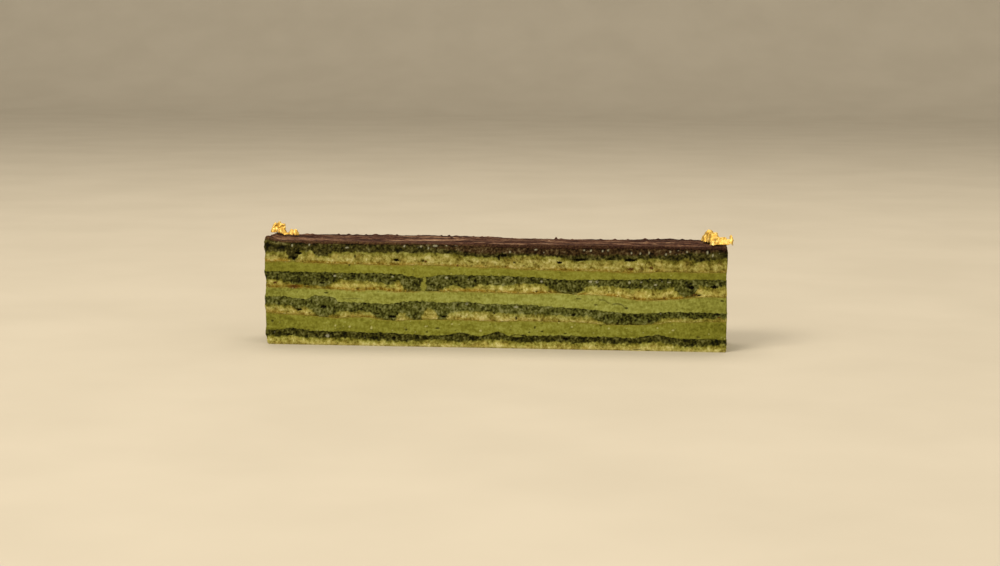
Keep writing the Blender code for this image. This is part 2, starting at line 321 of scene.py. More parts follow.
# ---------------------------------------------------------------- surfaces
def boundary(name, x, y):
    """Height of a boundary between layers, with its finer unevenness."""
    if name == "underside":
        return np.zeros_like(x)
    left, right, swells = BOUNDARIES[name]
    back = (y + D / 2) / D
    place = x + L / 2 + DRIFT * (y + D / 2)
    z = left + (right - left) * np.clip((x + L / 2) / L, 0, 1)
    for at, half, rise in swells:
        z = z + (1 - FADE * back) * rise * np.exp(-((place - at) / half) ** 2)
    if name in CHANGES:
        table = np.array(CHANGES[name])
        z = z + (1 - FADE * back) * np.interp(place, table[:, 0], table[:, 1])
    for a, b, c, e, rise in SHOULDERS.get(name, []):
        z = z + (1 - FADE * back) * rise * smooth(a, b, place) * smooth(e, c, place)
    if name not in ("glaze_top", "glaze_foot"):
        z = z + back * BACK_WAVE * np.sin(
            2 * np.pi * x / BACK_WAVE_LENGTH + len(name) + left)
    seed = 40 + sorted(BOUNDARIES).index(name)
    if name != "glaze_top":
        p = pts(x, y, 0.0)
        z = z + 0.13 * fbm(p / 5.0, seed) + 0.05 * fbm(p / 1.3, seed + 9, 2)
        if name in ("glaze_foot", "cream_1_foot", "cream_2_foot", "cream_3_foot"):
            # torn crumb of the sponge's upper side
            z = z + 0.20 * perlin(p / 0.95, seed + 20) + 0.15 * perlin(p / 0.5, seed + 22)
            z = z + 0.14 * perlin(p / 2.1, seed + 21)
        else:
            z = z + 0.09 * perlin(p / 0.8, seed + 20) + 0.08 * perlin(p / 2.2, seed + 21)
    return z


LUMPS = [  # small lumps of set glaze: place along, across, half sizes, rise
    (8.7, 9.4, 0.9, 0.7, 0.35), (10.4, 9.3, 0.6, 0.6, 0.32),
    (21.8, 9.6, 0.6, 0.6, 0.38), (24.3, 9.4, 0.8, 0.6, 0.30),
    (30.2, 9.6, 1.1, 0.6, 0.38), (34.5, 9.5, 2.0, 0.7, 0.30),
    (40.5, 8.8, 1.2, 0.6, 0.15), (53.0, 9.3, 0.5, 0.5, 0.50),
    (55.2, 9.5, 0.8, 0.5, 0.28), (58.0, 9.5, 1.5, 0.5, 0.20),
    (63.3, 9.5, 0.5, 0.5, 0.32), (65.0, 9.6, 0.5, 0.5, 0.32),
    (54.5, 3.0, 0.5, 0.6, 0.35), (56.5, 1.0, 0.6, 0.7, 0.35),
    (58.0, 5.0, 0.6, 0.8, 0.30), (60.0, 2.0, 0.5, 0.6, 0.30),
    (62.5, 4.5, 0.6, 0.8, 0.35), (66.0, 6.8, 0.5, 0.5, 0.25),
    (82.5, 3.0, 0.9, 0.8, 0.38), (84.5, 0.5, 0.6, 0.8, 0.32),
    (86.0, 9.7, 0.40, 0.40, 0.80), (87.6, 9.5, 0.7, 0.5, 0.25),
    (104.0, 9.7, 0.5, 0.4, 0.32), (108.0, 9.7, 0.4, 0.4, 0.25),
    (113.2, 9.2, 0.6, 0.6, 0.40), (113.8, -1.0, 0.8, 0.8, 0.38),
    (116.0, -5.0, 1.0, 1.0, 0.22), (121.0, 9.3, 1.6, 0.6, 0.32),
    (127.0, 9.2, 0.6, 0.5, 0.28), (131.2, 7.0, 0.7, 0.6, 0.45),
    (0.5, -9.4, 0.7, 0.8, 0.25), (96.0, -1.0, 3.0, 0.5, 0.12),
    (47.0, -3.0, 4.0, 0.4, 0.10), (18.6, 9.7, 0.35, 0.35, 0.30),
    (27.2, 9.7, 0.4, 0.4, 0.26), (36.8, 9.7, 0.4, 0.35, 0.28),
    (43.4, 9.7, 0.5, 0.4, 0.22), (50.6, 9.7, 0.35, 0.35, 0.28),
    (60.6, 9.7, 0.45, 0.4, 0.24), (72.4, 9.7, 0.5, 0.4, 0.20),
    (91.0, 9.7, 0.4, 0.4, 0.22), (99.6, 9.7, 0.45, 0.4, 0.20),
    (117.2, 9.6, 0.5, 0.4, 0.30), (124.6, 9.6, 0.5, 0.4, 0.28),
]
# Strokes of the palette knife on the glaze, painted reflection where they catch the room
# and painted shade between and beside the gold: start and end (place along, across), half widths there,
# strength
STROKES = [
    (2, -4.2, 26, -7.2, 4.6, 1.6, 0.55), (24, -3.5, 35, -1.5, 1.6, 0.8, 0.50),
    (35, -6.4, 56, -1.0, 1.6, 2.6, 0.90), (38, 5.2, 57, 5.2, 1.5, 1.3, 0.60),
    (55, -1.5, 63, 1.5, 1.6, 1.0, 0.50), (62, -7.2, 70, -9.6, 1.3, 0.8, 0.90),
    (68, -8.6, 80, -9.4, 1.5, 0.8, 0.90), (79, -8.0, 87, -8.0, 1.4, 0.8, 0.75),
    (83, 0.5, 91, -2.0, 1.6, 0.8, 0.60), (91, -4.2, 104, -5.6, 2.0, 1.3, 0.45),
    (104, -6.2, 111, -7.6, 1.8, 1.0, 0.80), (111, -1.5, 117, -6.0, 1.5, 1.3, 0.70),
    (120, 0.5, 130, -3.0, 2.0, 1.2, 0.60), (122, -8.0, 135, -9.6, 0.9, 0.6, 0.70),
    (14, 1.0, 22, 3.0, 1.2, 0.8, 0.45), (70, 2.0, 78, 4.5, 1.5, 0.9, 0.40),
    (96, 2.0, 108, 1.0, 1.2, 1.6, 0.35), (6, 6.0, 12, 6.6, 0.8, 0.8, 0.4),
    (12, 8.8, 62, 9.8, 1.6, 1.4, -0.9), (94, 7.5, 136, 8.0, 1.6, 2.2, -0.6),
    (4, 3.2, 15, 0.5, 1.5, 0.9, -0.6), (22, -1.5, 38, -7.6, 1.4, 1.0, -0.6),
    (35, -8.9, 56, -4.6, 0.8, 0.8, -0.8), (38, 0.8, 56, 3.1, 0.6, 0.7, -0.6),
    (56, -4.8, 68, -5.6, 1.5, 1.3, -0.6), (69, -5.6, 84, -5.2, 1.2, 0.8, -0.7),
    (76, 1.0, 84, 0.0, 0.8, 1.4, -0.6), (88, -7.6, 104, -8.8, 1.2, 1.2, -0.7),
    (108, 3.5, 120, 3.0, 1.6, 1.6, -0.5), (117, -3.0, 122, -6.2, 1.2, 1.0, -0.6),
    (119, 3.0, 135, -4.5, 2.2, 1.4, -0.7),
]


def strokes(x, y):
    """The glaze was drawn along the bar: place in a stroke, and its strength."""
    wander = (1.6 * perlin(pts(x / 24, y / 11, 0), 3)
              + 0.6 * perlin(pts(x / 8, y / 5, 4), 5))
    yy = y + wander + 0.035 * x + 0.9 * np.sin(x / 19.0 + 1.0)
    phase = yy / 2.7 + 0.6 * perlin(pts(x / 30, yy / 6, 2), 6)
    t = phase - np.floor(phase)
    strength = smooth(-0.30, 0.30, perlin(pts(x / 13, np.floor(phase), 1), 8))
    return yy, t, strength


def glaze_height(x, y):
    """Long shingled strokes, fine brush lines and a few lumps of set glaze."""
    z = boundary("glaze_top", x, y)
    back = smooth(0.0, 1.0, (y + D / 2) / D)
    place = x + L / 2
    z = z + back * (0.20 * np.exp(-((place - 47) / 12) ** 2)
                    - 0.40 * smooth(64, 76, place) * smooth(122, 100, place))
    z = z + 0.45 * np.exp(-(place / 3.0) ** 2) * smooth(0.15, 0.5, back) \
        + 0.30 * np.exp(-(place / 2.0) ** 2)
    yy, t, strength = strokes(x, y)
    ridge = np.where(t < 0.18, t / 0.18, (1 - t) / 0.82)
    ridge = ridge * ridge * (3 - 2 * ridge)
    z = z + 0.24 * ridge * (0.2 + 0.8 * strength) - 0.10
    z = z + 0.045 * perlin(pts(x / 13, yy / 0.85, 7), 11)
    z = z + 0.022 * perlin(pts(x / 7, yy / 0.38, 9), 13)
    z = z + 0.07 * perlin(pts(x / 2.6, y / 1.7, 3), 14)
    z = z + 0.045 * perlin(pts(x / 0.9, y / 0.7, 5), 15)
    z = z + 0.055 * perlin(pts(x / 1.3, y / 3.2, 8), 16)
    for at, yc, rx, ry, rise in LUMPS:
        z = z + rise * np.exp(-(((x + L / 2) - at) / rx) ** 2
                              - ((y - yc) / ry) ** 2)
    return z


# -------------------------------------------------------------- mesh makers
def perimeter():
    """Points round the bar, front first, with outward normals and both ends."""
    u, w = np.arange(NX) / NX, np.arange(NY) / NY
    x = np.concatenate([-L / 2 + L * u, np.full(NY, L / 2),
                        L / 2 - L * u, np.full(NY, -L / 2)])
    y = np.concatenate([np.full(NX, -D / 2), -D / 2 + D * w,
                        np.full(NX, D / 2), D / 2 - D * w])
    side = np.repeat([0, 1, 2, 3], [NX, NY, NX, NY])
    to_x = L / 2 - np.abs(x)            # distance to the end faces
    to_y = D / 2 - np.abs(y)            # distance to the long faces
    nx = np.sign(x) * smooth(0.45, 0.0, to_x)
    ny = np.sign(y) * smooth(0.45, 0.0, to_y)
    n = np.hypot(nx, ny)
    nx, ny = nx / n, ny / n
    r = 0.55                            # corners worn round
    near = np.clip(1 - np.maximum(to_x, to_y) / r, 0, 1) ** 2 * 0.29 * r
    return x - np.sign(x) * near, y - np.sign(y) * near, nx, ny, side


PX, PY, PNX, PNY, SIDE = perimeter()
COLUMNS = len(PX)


def end_reach(x, z):
    """How far the end faces stand out at a height, fading away from them."""
    u = np.clip(np.abs(x) / (L / 2), 0, 1) ** 60
    left, right = np.array(LEFT_END), np.array(RIGHT_END)
    out_left = np.interp(z, left[:, 0], left[:, 1]) + INSET
    out_right = np.interp(z, right[:, 0], right[:, 1]) + INSET
    return np.where(x > 0, out_right * u, -out_left * u)


def stretches(table, name, x):
    out = 0.0
    for at, half, change in table.get(name, []):
        out = out + change * np.exp(-((x + L / 2 - at) / half) ** 2)
    return out


def spots(name, table, x, z, front, soft=1.0, ragged=0.3, shallow=False):
    """1 inside the listed ovals on the front face, 0 well outside them."""
    out = np.zeros_like(x)
    for at, height, rx, rz in table.get(name, []):
        a = (x + L / 2 - at - 0.25) / rx
        b = (z - height) / rz
        near = (np.abs(a) < 3) & (np.abs(b) < 3)
        if near.any():
            d = np.sqrt(a[near] ** 2 + b[near] ** 2)
            d = d + ragged * perlin(pts(x[near] / 0.45, z[near] / 0.35, at), 71)
            deep = min(1.0, 0.2 + 2.0 * rx * rz) if shallow else 1.0
            out[near] = np.maximum(out[near], deep * smooth(1 + 0.35 * soft,
                                                            1 - 0.45 * soft, d))
    return out * front


def shuffled(x, name):
    """Another place along the bar, so that the other faces are not copies."""
    turn = {"1": 31, "2": 77, "3": 12, "4": 104}[name[-1]]
    far = (0.93 * (L / 2 - x) + turn) % (2 * L)
    return np.minimum(far, 2 * L - far)


def soaked_edge(name, x, y):
    """Height of the syrup's lower edge; on the other faces it is shuffled along."""
    table = np.array(SOAKED[name])
    back = (y + D / 2) / D
    here = np.interp(x + L / 2, table[:, 0], table[:, 1])
    # the same edge measured from the sponge's foot, for the shuffled faces
    foot_name = name + "_foot" if name != "sponge_4" else "underside"
    there = boundary(foot_name, x, y)
    for k in (-2.0, -1.0, 0.0, 1.0, 2.0):
        place = np.clip(shuffled(x, name) + k, 0, L)
        there = there + 0.2 * (np.interp(place, table[:, 0], table[:, 1]) - boundary(
            foot_name, place - L / 2, np.full_like(x, -D / 2)))
    w = smooth(0.04, 0.35, back)
    return here * (1 - w) + there * w


def along_front(name, table, x, y):
    """A strength listed along the front, shuffled along on the other faces."""
    t = np.array(table[name])
    here = np.interp(x + L / 2, t[:, 0], t[:, 1])
    there = np.interp(shuffled(x, name), t[:, 0], t[:, 1])
    w = smooth(0.04, 0.35, (y + D / 2) / D)
    return here * (1 - w) + there * w


def wall(name, top, foot):
    """Grid of points on a layer's four cut faces: x, y, z and their normals."""
    height = np.mean(top - foot)
    rows = max(4, int(round(height / STEP)))
    t = np.linspace(0, 1, rows + 1)[:, None]
    z = top[None] * (1 - t) + foot[None] * t
    x = np.broadcast_to(PX, z.shape)
    y = np.broadcast_to(PY, z.shape)
    x = x + end_reach(x, z)
    nx = np.broadcast_to(PNX, z.shape)
    ny = np.broadcast_to(PNY, z.shape)
    return x, y, z, nx, ny, t


def make_mesh(name, grid, cap_top=True):
    """Closed mesh from a wall grid (rows x columns) with long quads as lids."""
    x, y, z = grid
    rows, columns = x.shape
    verts = np.stack([x, y, z], -1).reshape(-1, 3)
    index = np.arange(rows * columns).reshape(rows, columns)
    nxt = np.roll(index, -1, axis=1)
    # columns run anticlockwise seen from above, so this order faces outwards
    quads = np.stack([index[1:], nxt[1:], nxt[:-1], index[:-1]], -1).reshape(-1, 4)
    faces = [tuple(q) for q in quads.tolist()]
    walls = len(faces)
    u, v = quad_uv(rows, columns)
    lids = []
    front = np.arange(0, NX + 1)
    back = (2 * NX + NY - np.arange(0, NX + 1)) % columns
    right = list(range(NX, NX + NY + 1))
    left = list(range(2 * NX + NY, 2 * NX + 2 * NY)) + [0]
    for row, up in ((0, True), (rows - 1, False)):
        if up and not cap_top:
            continue
        at = index[row]
        for i in range(1, NX - 1):
            quad = (at[front[i]], at[front[i + 1]], at[back[i + 1]], at[back[i]])
            lids.append(quad if up else quad[::-1])
        ring = [at[front[NX - 1]]] + [at[k] for k in right] + [at[back[NX - 1]]]
        lids.append(tuple(ring) if up else tuple(ring[::-1]))
        ring = [at[back[1]]] + [at[k] for k in left] + [at[front[1]]]
        lids.append(tuple(ring) if up else tuple(ring[::-1]))
    faces += lids
    return verts, faces, walls, np.stack([u, v], -1).reshape(-1, 2)


def quad_uv(rows, columns):
    """Where each wall quad goes on the piece's own map: strips, stacked."""
    strips = 7                      # 3 for each long face, 1 for the two ends
    col = np.arange(columns)
    seg = np.zeros(columns, int)
    start = np.zeros(columns)
    length = np.zeros(columns)
    third = NX / 3.0
    for c0, n, first in ((0, NX, 0), (NX + NY, NX, 3)):
        k = col - c0
        inside = (k >= 0) & (k < n)
        s = np.minimum((k // third).astype(int), 2)
        seg = np.where(inside, first + s, seg)
        start = np.where(inside, (k - s * third) / third, start)
        length = np.where(inside, 1 / third, length)
    for c0, offset in ((NX, 0.0), (2 * NX + NY, 0.5)):
        k = col - c0
        inside = (k >= 0) & (k < NY)
        seg = np.where(inside, 6, seg)
        start = np.where(inside, offset + 0.49 * k / NY, start)
        length = np.where(inside, 0.49 / NY, length)
    margin = 0.004
    pitch = 0.97 / strips
    u0 = margin + start * (1 - 2 * margin)
    u1 = margin + (start + length) * (1 - 2 * margin)
    t = np.linspace(0, 1, rows)
    v_top = (seg + 1) * pitch - margin
    v_bot = seg * pitch + margin
    v = v_top[None] * (1 - t[:, None]) + v_bot[None] * t[:, None]
    a = np.broadcast_to(u0, (rows - 1, columns))
    b = np.broadcast_to(u1, (rows - 1, columns))
    u = np.stack([a, b, b, a], -1)
    w = np.stack([v[1:], v[1:], v[:-1], v[:-1]], -1)
    return u, w


def finish_mesh(name, verts, faces, walls, wall_uv, attributes):
    me = bpy.data.meshes.new(name)
    me.from_pydata((verts * MM).tolist(), [], faces)
    flat = np.ones(len(me.polygons), bool)
    flat[walls:] = False
    me.polygons.foreach_set("use_smooth", flat)
    for key, values in attributes.items():
        a = me.attributes.new(key, "FLOAT", "POINT")
        full = np.zeros(len(me.vertices), np.float32)
        values = np.asarray(values, np.float32).reshape(-1)
        full[:len(values)] = values
        a.data.foreach_set("value", full)
    layer = me.uv_layers.new(name="OFBake")
    uv = np.zeros((len(me.loops), 2), np.float32)
    uv[:len(wall_uv)] = wall_uv
    rest = len(me.loops) - len(wall_uv)
    if rest:
        loops = np.zeros(len(me.loops), np.int64)
        me.loops.foreach_get("vertex_index", loops)
        co = verts[loops[len(wall_uv):]]
        lid = (co[:, 0] + L / 2 + 1) / (L + 2)
        dep = (co[:, 1] + D / 2) / D
        uv[len(wall_uv):, 0] = 0.004 + 0.992 * lid
        uv[len(wall_uv):, 1] = 0.974 + 0.022 * dep
    layer.data.foreach_set("uv", uv.reshape(-1))
    me.validate()
    me.update()
    ob = bpy.data.objects.new(name, me)
    bpy.context.scene.collection.objects.link(ob)
    return ob


# ---------------------------------------------------------------- materials
class Nodes:
    """Short hand for building a node material."""

    def __init__(self, name):
        self.mat = bpy.data.materials.new(name)
        self.mat.use_nodes = True
        self.tree = self.mat.node_tree
        self.bsdf = self.tree.nodes["Principled BSDF"]
        self.where = self.tree.nodes.new("ShaderNodeTexCoord").outputs["Object"]

    def _plug(self, socket, value):
        if isinstance(value, bpy.types.NodeSocket):
            self.tree.links.new(value, socket)
        elif isinstance(value, (tuple, list)) and len(value) == 3 and \
                socket.type == "RGBA":
            socket.default_value = (*value, 1.0)
        else:
            socket.default_value = value

    def set(self, **values):
        for key, value in values.items():
            self._plug(self.bsdf.inputs[key.replace("_", " ")], value)

    def attr(self, name):
        n = self.tree.nodes.new("ShaderNodeAttribute")
        n.attribute_name = name
        return n.outputs["Fac"]

    def _placed(self, size_mm, stretch, seed):
        m = self.tree.nodes.new("ShaderNodeMapping")
        m.inputs["Scale"].default_value = tuple(1000.0 / size_mm / s for s in stretch)
        m.inputs["Location"].default_value = (seed, seed * 0.7, -seed)
        self.tree.links.new(self.where, m.inputs["Vector"])
        return m.outputs["Vector"]

    def noise(self, size_mm, detail=3.0, rough=0.55, stretch=(1, 1, 1), warp=0.0,
              seed=0.0):
        n = self.tree.nodes.new("ShaderNodeTexNoise")
        n.inputs["Scale"].default_value = 1.0
        n.inputs["Detail"].default_value = detail
        n.inputs["Roughness"].default_value = rough
        n.inputs["Distortion"].default_value = warp
        self.tree.links.new(self._placed(size_mm, stretch, seed), n.inputs["Vector"])
        return n.outputs["Fac"]

    def voronoi(self, size_mm, stretch=(1, 1, 1), feature="F1", seed=0.0):
        n = self.tree.nodes.new("ShaderNodeTexVoronoi")
        n.feature = feature
        n.inputs["Scale"].default_value = 1.0
        self.tree.links.new(self._placed(size_mm, stretch, seed), n.inputs["Vector"])
        return n.outputs["Distance"]

    def math(self, op, a, b=0.0, clamp=False):
        n = self.tree.nodes.new("ShaderNodeMath")
        n.operation = op
        n.use_clamp = clamp
        self._plug(n.inputs[0], a)
        self._plug(n.inputs[1], b)
        return n.outputs[0]

    def blend(self, *parts):
        """Weighted sum of (weight, value) pairs."""
        total = None
        for weight, value in parts:
            part = self.math("MULTIPLY", value, weight)
            total = part if total is None else self.math("ADD", total, part)
        return total

    def remap(self, x, a, b, lo=0.0, hi=1.0, smoothly=True):
        n = self.tree.nodes.new("ShaderNodeMapRange")
        n.interpolation_type = "SMOOTHSTEP" if smoothly else "LINEAR"
        self._plug(n.inputs["Value"], x)
        for key, v in (("From Min", a), ("From Max", b), ("To Min", lo),
                       ("To Max", hi)):
            n.inputs[key].default_value = v
        return n.outputs["Result"]

    def ramp(self, fac, stops):
        n = self.tree.nodes.new("ShaderNodeValToRGB")
        r = n.color_ramp
        while len(r.elements) < len(stops):
            r.elements.new(0.5)
        for e, (at, colour) in zip(r.elements, stops):
            e.position = at
            e.color = (*colour, 1.0)
        self._plug(n.inputs["Fac"], fac)
        return n.outputs["Color"]

    def mix(self, fac, a, b, mode="MIX"):
        n = self.tree.nodes.new("ShaderNodeMix")
        n.data_type = "RGBA"
        n.blend_type = mode
        self._plug(n.inputs[0], fac)
        self._plug(n.inputs[6], a)
        self._plug(n.inputs[7], b)
        return n.outputs[2]

    def bump(self, height, distance_mm, strength=1.0):
        n = self.tree.nodes.new("ShaderNodeBump")
        n.inputs["Strength"].default_value = strength
        n.inputs["Distance"].default_value = distance_mm * MM
        self._plug(n.inputs["Height"], height)
        return n.outputs["Normal"]


# Colours are given as they look under the warm light of the room, 0-255. LIT is
# how bright that light makes a white front face, so seen / LIT is the true colour.
WARM = (1.0, 0.86, 0.64)
LIT = (1.16, 1.00, 0.76)


def seen(r, g, b, lit=LIT):
    out = []
    for c, k in zip((r, g, b), lit):
        c /= 255
        c = c / 12.92 if c <= 0.04045 else ((c + 0.055) / 1.055) ** 2.4
        out.append(min(c / k, 1.0))
    return tuple(out)


def sponge_material(name, dark, lift=1.0):
    n = Nodes(name)
    lit = tuple(k / lift for k in LIT)
    soak, crust, pore, damp = (n.attr(k) for k in ("soak", "crust", "pore", "damp"))
    speck_and_glint, cream, choc, smear = (n.attr(k) for k in ("speck_and_glint", "cream", "choc",
                                                     "smear"))
    grain, fibre, light = n.attr("grain"), n.attr("fibre"), n.attr("light")
    fine = n.noise(0.30, 3, 0.6, seed=3)
    finer = n.noise(0.16, 2, 0.6, seed=9)
    broad = n.noise(3.2, 3, 0.55, seed=5)
    dust = n.math("SUBTRACT", n.blend((0.7, fine), (0.3, finer)), 0.5)
    wet_tone = n.math("ADD", grain, n.math("MULTIPLY", dust, 1.0))
    dry_tone = n.math("ADD", n.blend((0.25, grain), (0.75, fibre)),
                      n.math("MULTIPLY", dust, 1.3))
    pale = n.ramp(dry_tone, [(0.06, seen(66, 54, 10, lit)), (0.27, seen(108, 94, 28, lit)),
                             (0.50, seen(146, 132, 58, lit)), (0.70, seen(166, 153, 75, lit)),
                             (0.94, seen(198, 184, 118, lit))])
    # lighter crumb where light is set: paler patches at random, and painted light from below along the
    # bottom edge of the lowest sponge
    pale = n.mix(n.math("MULTIPLY", light, 0.45), pale,
                 n.ramp(dry_tone, [(0.15, seen(140, 118, 52, lit)),
                                   (0.50, seen(176, 157, 84, lit)),
                                   (0.90, seen(206, 188, 124, lit))]))
    # lighter, yellower patches, and greener crumb close to the syrup
    warm = n.remap(broad, 0.50, 0.66)
    pale = n.mix(n.math("MULTIPLY", warm, 0.25), pale, seen(172, 146, 66, lit))
    moist = n.ramp(dry_tone, [(0.05, seen(48, 44, 2, lit)), (0.28, seen(78, 73, 14, lit)),
                              (0.55, seen(108, 102, 30, lit)), (0.90, seen(146, 140, 58, lit))])
    pale = n.mix(n.math("MULTIPLY", damp, 0.80), pale, moist)
    wet = n.ramp(wet_tone, [(a, c) for a, c in zip((0.06, 0.27, 0.50, 0.73, 0.97),
                                                   dark)])
    stained = n.ramp(wet_tone, [(0.08, seen(18, 7, 0)), (0.30, seen(38, 21, 6)),
                                (0.52, seen(60, 39, 17)), (0.76, seen(80, 59, 33)),
                                (0.98, seen(114, 97, 66))])
    wet = n.mix(n.math("MULTIPLY", choc, 0.9), wet, stained)
    edge = n.math("ADD", soak, n.math("MULTIPLY", n.math("SUBTRACT", fine, 0.5), 0.7))
    colour = n.mix(n.remap(edge, 0.12, 0.88), pale, wet)
    # the baked underside of the sheet
    uneven = n.remap(n.noise(0.8, 3, 0.6, seed=21), 0.28, 0.58)
    bake = n.math("MULTIPLY", crust, uneven, clamp=True)
    brown = n.ramp(dry_tone, [(0.10, seen(84, 56, 6)), (0.38, seen(116, 86, 15)),
                              (0.62, seen(138, 106, 25)), (0.92, seen(166, 134, 52))])
    colour = n.mix(bake, colour, brown)
    colour = n.mix(smear, colour,
                   n.ramp(fine, [(0.35, seen(48, 24, 4)), (0.62, seen(98, 60, 16))]))
    colour = n.mix(cream, colour, n.ramp(fine, [(0.35, seen(118, 112, 34)),
                                                (0.65, seen(142, 136, 56))]))
    # painted highlights: the pale glints of the wet crumb
    colour = n.mix(n.math("MULTIPLY", speck_and_glint, 0.68), colour, seen(174, 165, 128))
    # painted shade: pores and clefts brown where dry and black where soaked, and the holes near black
    hollow = n.mix(n.remap(edge, 0.25, 0.75), seen(72, 50, 12), seen(14, 13, 1))
    colour = n.mix(n.math("MULTIPLY", pore, 0.92), colour, hollow)
    colour = n.mix(n.remap(n.attr("hole"), 0.10, 0.70), colour, seen(12, 9, 0))
    n.set(Base_Color=colour)
    rough = n.math("SUBTRACT", 0.82, n.blend((0.26, soak), (0.35, speck_and_glint)))
    n.set(Roughness=rough)
    n.bsdf.inputs["Specular IOR Level"].default_value = 0.06
    n.set(Normal=n.bump(n.blend((0.6, fine), (0.4, finer)), 0.14, 0.8))
    return n.mat


def cream_material(name, low, mid, high):
    n = Nodes(name)
    pit, speck_and_glint, smear, grit = (n.attr(k) for k in ("pore", "speck_and_glint", "smear", "grit"))
    mottle, rust = n.attr("mottle"), n.attr("rust")
    soft = n.noise(5.0, 3, 0.55, stretch=(2.2, 2.2, 1), seed=2)
    drag = n.noise(0.8, 3, 0.6, stretch=(6, 6, 1), warp=0.4, seed=7)
    fine = n.noise(0.42, 3, 0.65, seed=4)
    tone = n.blend((0.20, soft), (0.25, drag), (0.45, fine), (0.40, mottle))
    tone = n.math("SUBTRACT", tone, 0.15)
    colour = n.ramp(tone, [(0.24, low), (0.50, mid), (0.76, high)])
    colour = n.mix(rust, colour, n.ramp(fine, [(0.35, seen(122, 90, 22)),
                                               (0.62, seen(148, 118, 40))]))
    dots = n.remap(n.voronoi(1.7, seed=1.7), 0.17, 0.08)
    colour = n.mix(n.math("MULTIPLY", dots, 0.35), colour, seen(90, 82, 18))
    colour = n.mix(n.math("MULTIPLY", grit, 0.8), colour,
                   n.ramp(fine, [(0.38, seen(46, 44, 6)), (0.62, seen(94, 89, 28))]))
    colour = n.mix(n.math("MULTIPLY", smear, 0.9), colour,
                   n.ramp(fine, [(0.35, seen(76, 30, 8)), (0.62, seen(118, 70, 24))]))
    colour = n.mix(n.math("MULTIPLY", speck_and_glint, 0.85), colour, seen(184, 174, 104))
    # painted shade: pits, holes and cracks darker
    colour = n.mix(n.math("MULTIPLY", pit, 0.9), colour, seen(58, 52, 8))
    n.set(Base_Color=colour)
    n.set(Roughness=n.remap(soft, 0.3, 0.7, 0.50, 0.62, False))
    n.bsdf.inputs["Specular IOR Level"].default_value = 0.12
    n.set(Normal=n.bump(n.blend((0.5, drag), (0.5, fine)), 0.08, 0.6))
    return n.mat


def glaze_material(name):
    n = Nodes(name)
    side, sheen_and_shade, groove_shade = n.attr("side"), n.attr("sheen_and_shade"), n.attr("groove_shade")
    long = n.noise(0.75, 4, 0.6, stretch=(16, 1, 1), warp=0.3, seed=3)
    fine = n.noise(0.5, 3, 0.6, seed=12)
    grainy = n.noise(0.55, 3, 0.6, seed=8)
    clumps = n.noise(1.9, 3, 0.6, warp=0.6, seed=15)
    # painted reflection and shade: the top is lighter where the strokes catch the room, darker between
    # them and in their grooves
    tone = n.blend((0.95, sheen_and_shade), (0.14, long), (0.40, grainy), (0.85, clumps))
    tone = n.math("SUBTRACT", tone, n.math("MULTIPLY", groove_shade, 0.14))
    tone = n.math("SUBTRACT", tone, 0.69)
    top = n.ramp(tone, [(0.12, seen(42, 15, 8)), (0.32, seen(70, 38, 25)),
                        (0.52, seen(106, 72, 49)), (0.72, seen(143, 106, 75)),
                        (0.94, seen(180, 142, 108))])
    cut = n.ramp(n.math("ADD", fine, n.attr("lift")),
                 [(0.32, seen(36, 15, 9)), (0.50, seen(57, 33, 20)),
                  (0.68, seen(86, 60, 32)), (0.85, seen(104, 84, 44))])
    n.set(Base_Color=n.mix(side, top, cut))
    n.set(Roughness=n.remap(tone, 0.3, 0.9, 0.60, 0.52, False))
    n.bsdf.inputs["Specular IOR Level"].default_value = 0.07
    n.set(Normal=n.bump(n.blend((0.25, long), (0.35, grainy), (0.40, clumps)),
                        0.09, 0.8))
    return n.mat


def gold_material(name):
    n = Nodes(name)
    crinkle = n.noise(0.45, 4, 0.6, warp=1.0, seed=4)
    broad = n.noise(1.3, 2, 0.5, seed=2)
    n.set(Base_Color=n.ramp(broad, [(0.35, (0.64, 0.41, 0.085)),
                                    (0.52, (0.77, 0.56, 0.16)),
                                    (0.68, (0.92, 0.75, 0.32))]))
    n.bsdf.inputs["Metallic"].default_value = 1.0
    n.set(Roughness=n.remap(crinkle, 0.3, 0.7, 0.50, 0.64, False))
    n.set(Normal=n.bump(crinkle, 0.05, 0.4))
    return n.mat


# ------------------------------------------------------------------ layers
LAYERS = [
    ("sponge_1", "glaze_foot", "sponge_1_foot"),
    ("cream_1", "sponge_1_foot", "cream_1_foot"),
    ("sponge_2", "cream_1_foot", "sponge_2_foot"),
    ("cream_2", "sponge_2_foot", "cream_2_foot"),
    ("sponge_3", "cream_2_foot", "sponge_3_foot"),
    ("cream_3", "sponge_3_foot", "cream_3_foot"),
    ("sponge_4", "cream_3_foot", "underside"),
]
EDGES = {k: boundary(k, PX, PY) for k in list(BOUNDARIES) + ["underside"]}


def broad_wave(x, y, z):
    """The knife's slow wandering, shared by all layers."""
    return (0.08 * perlin(pts(x / 17, y / 17, z / 9), 90)
            + 0.045 * perlin(pts(x / 5, y / 5, z / 3.5), 91))


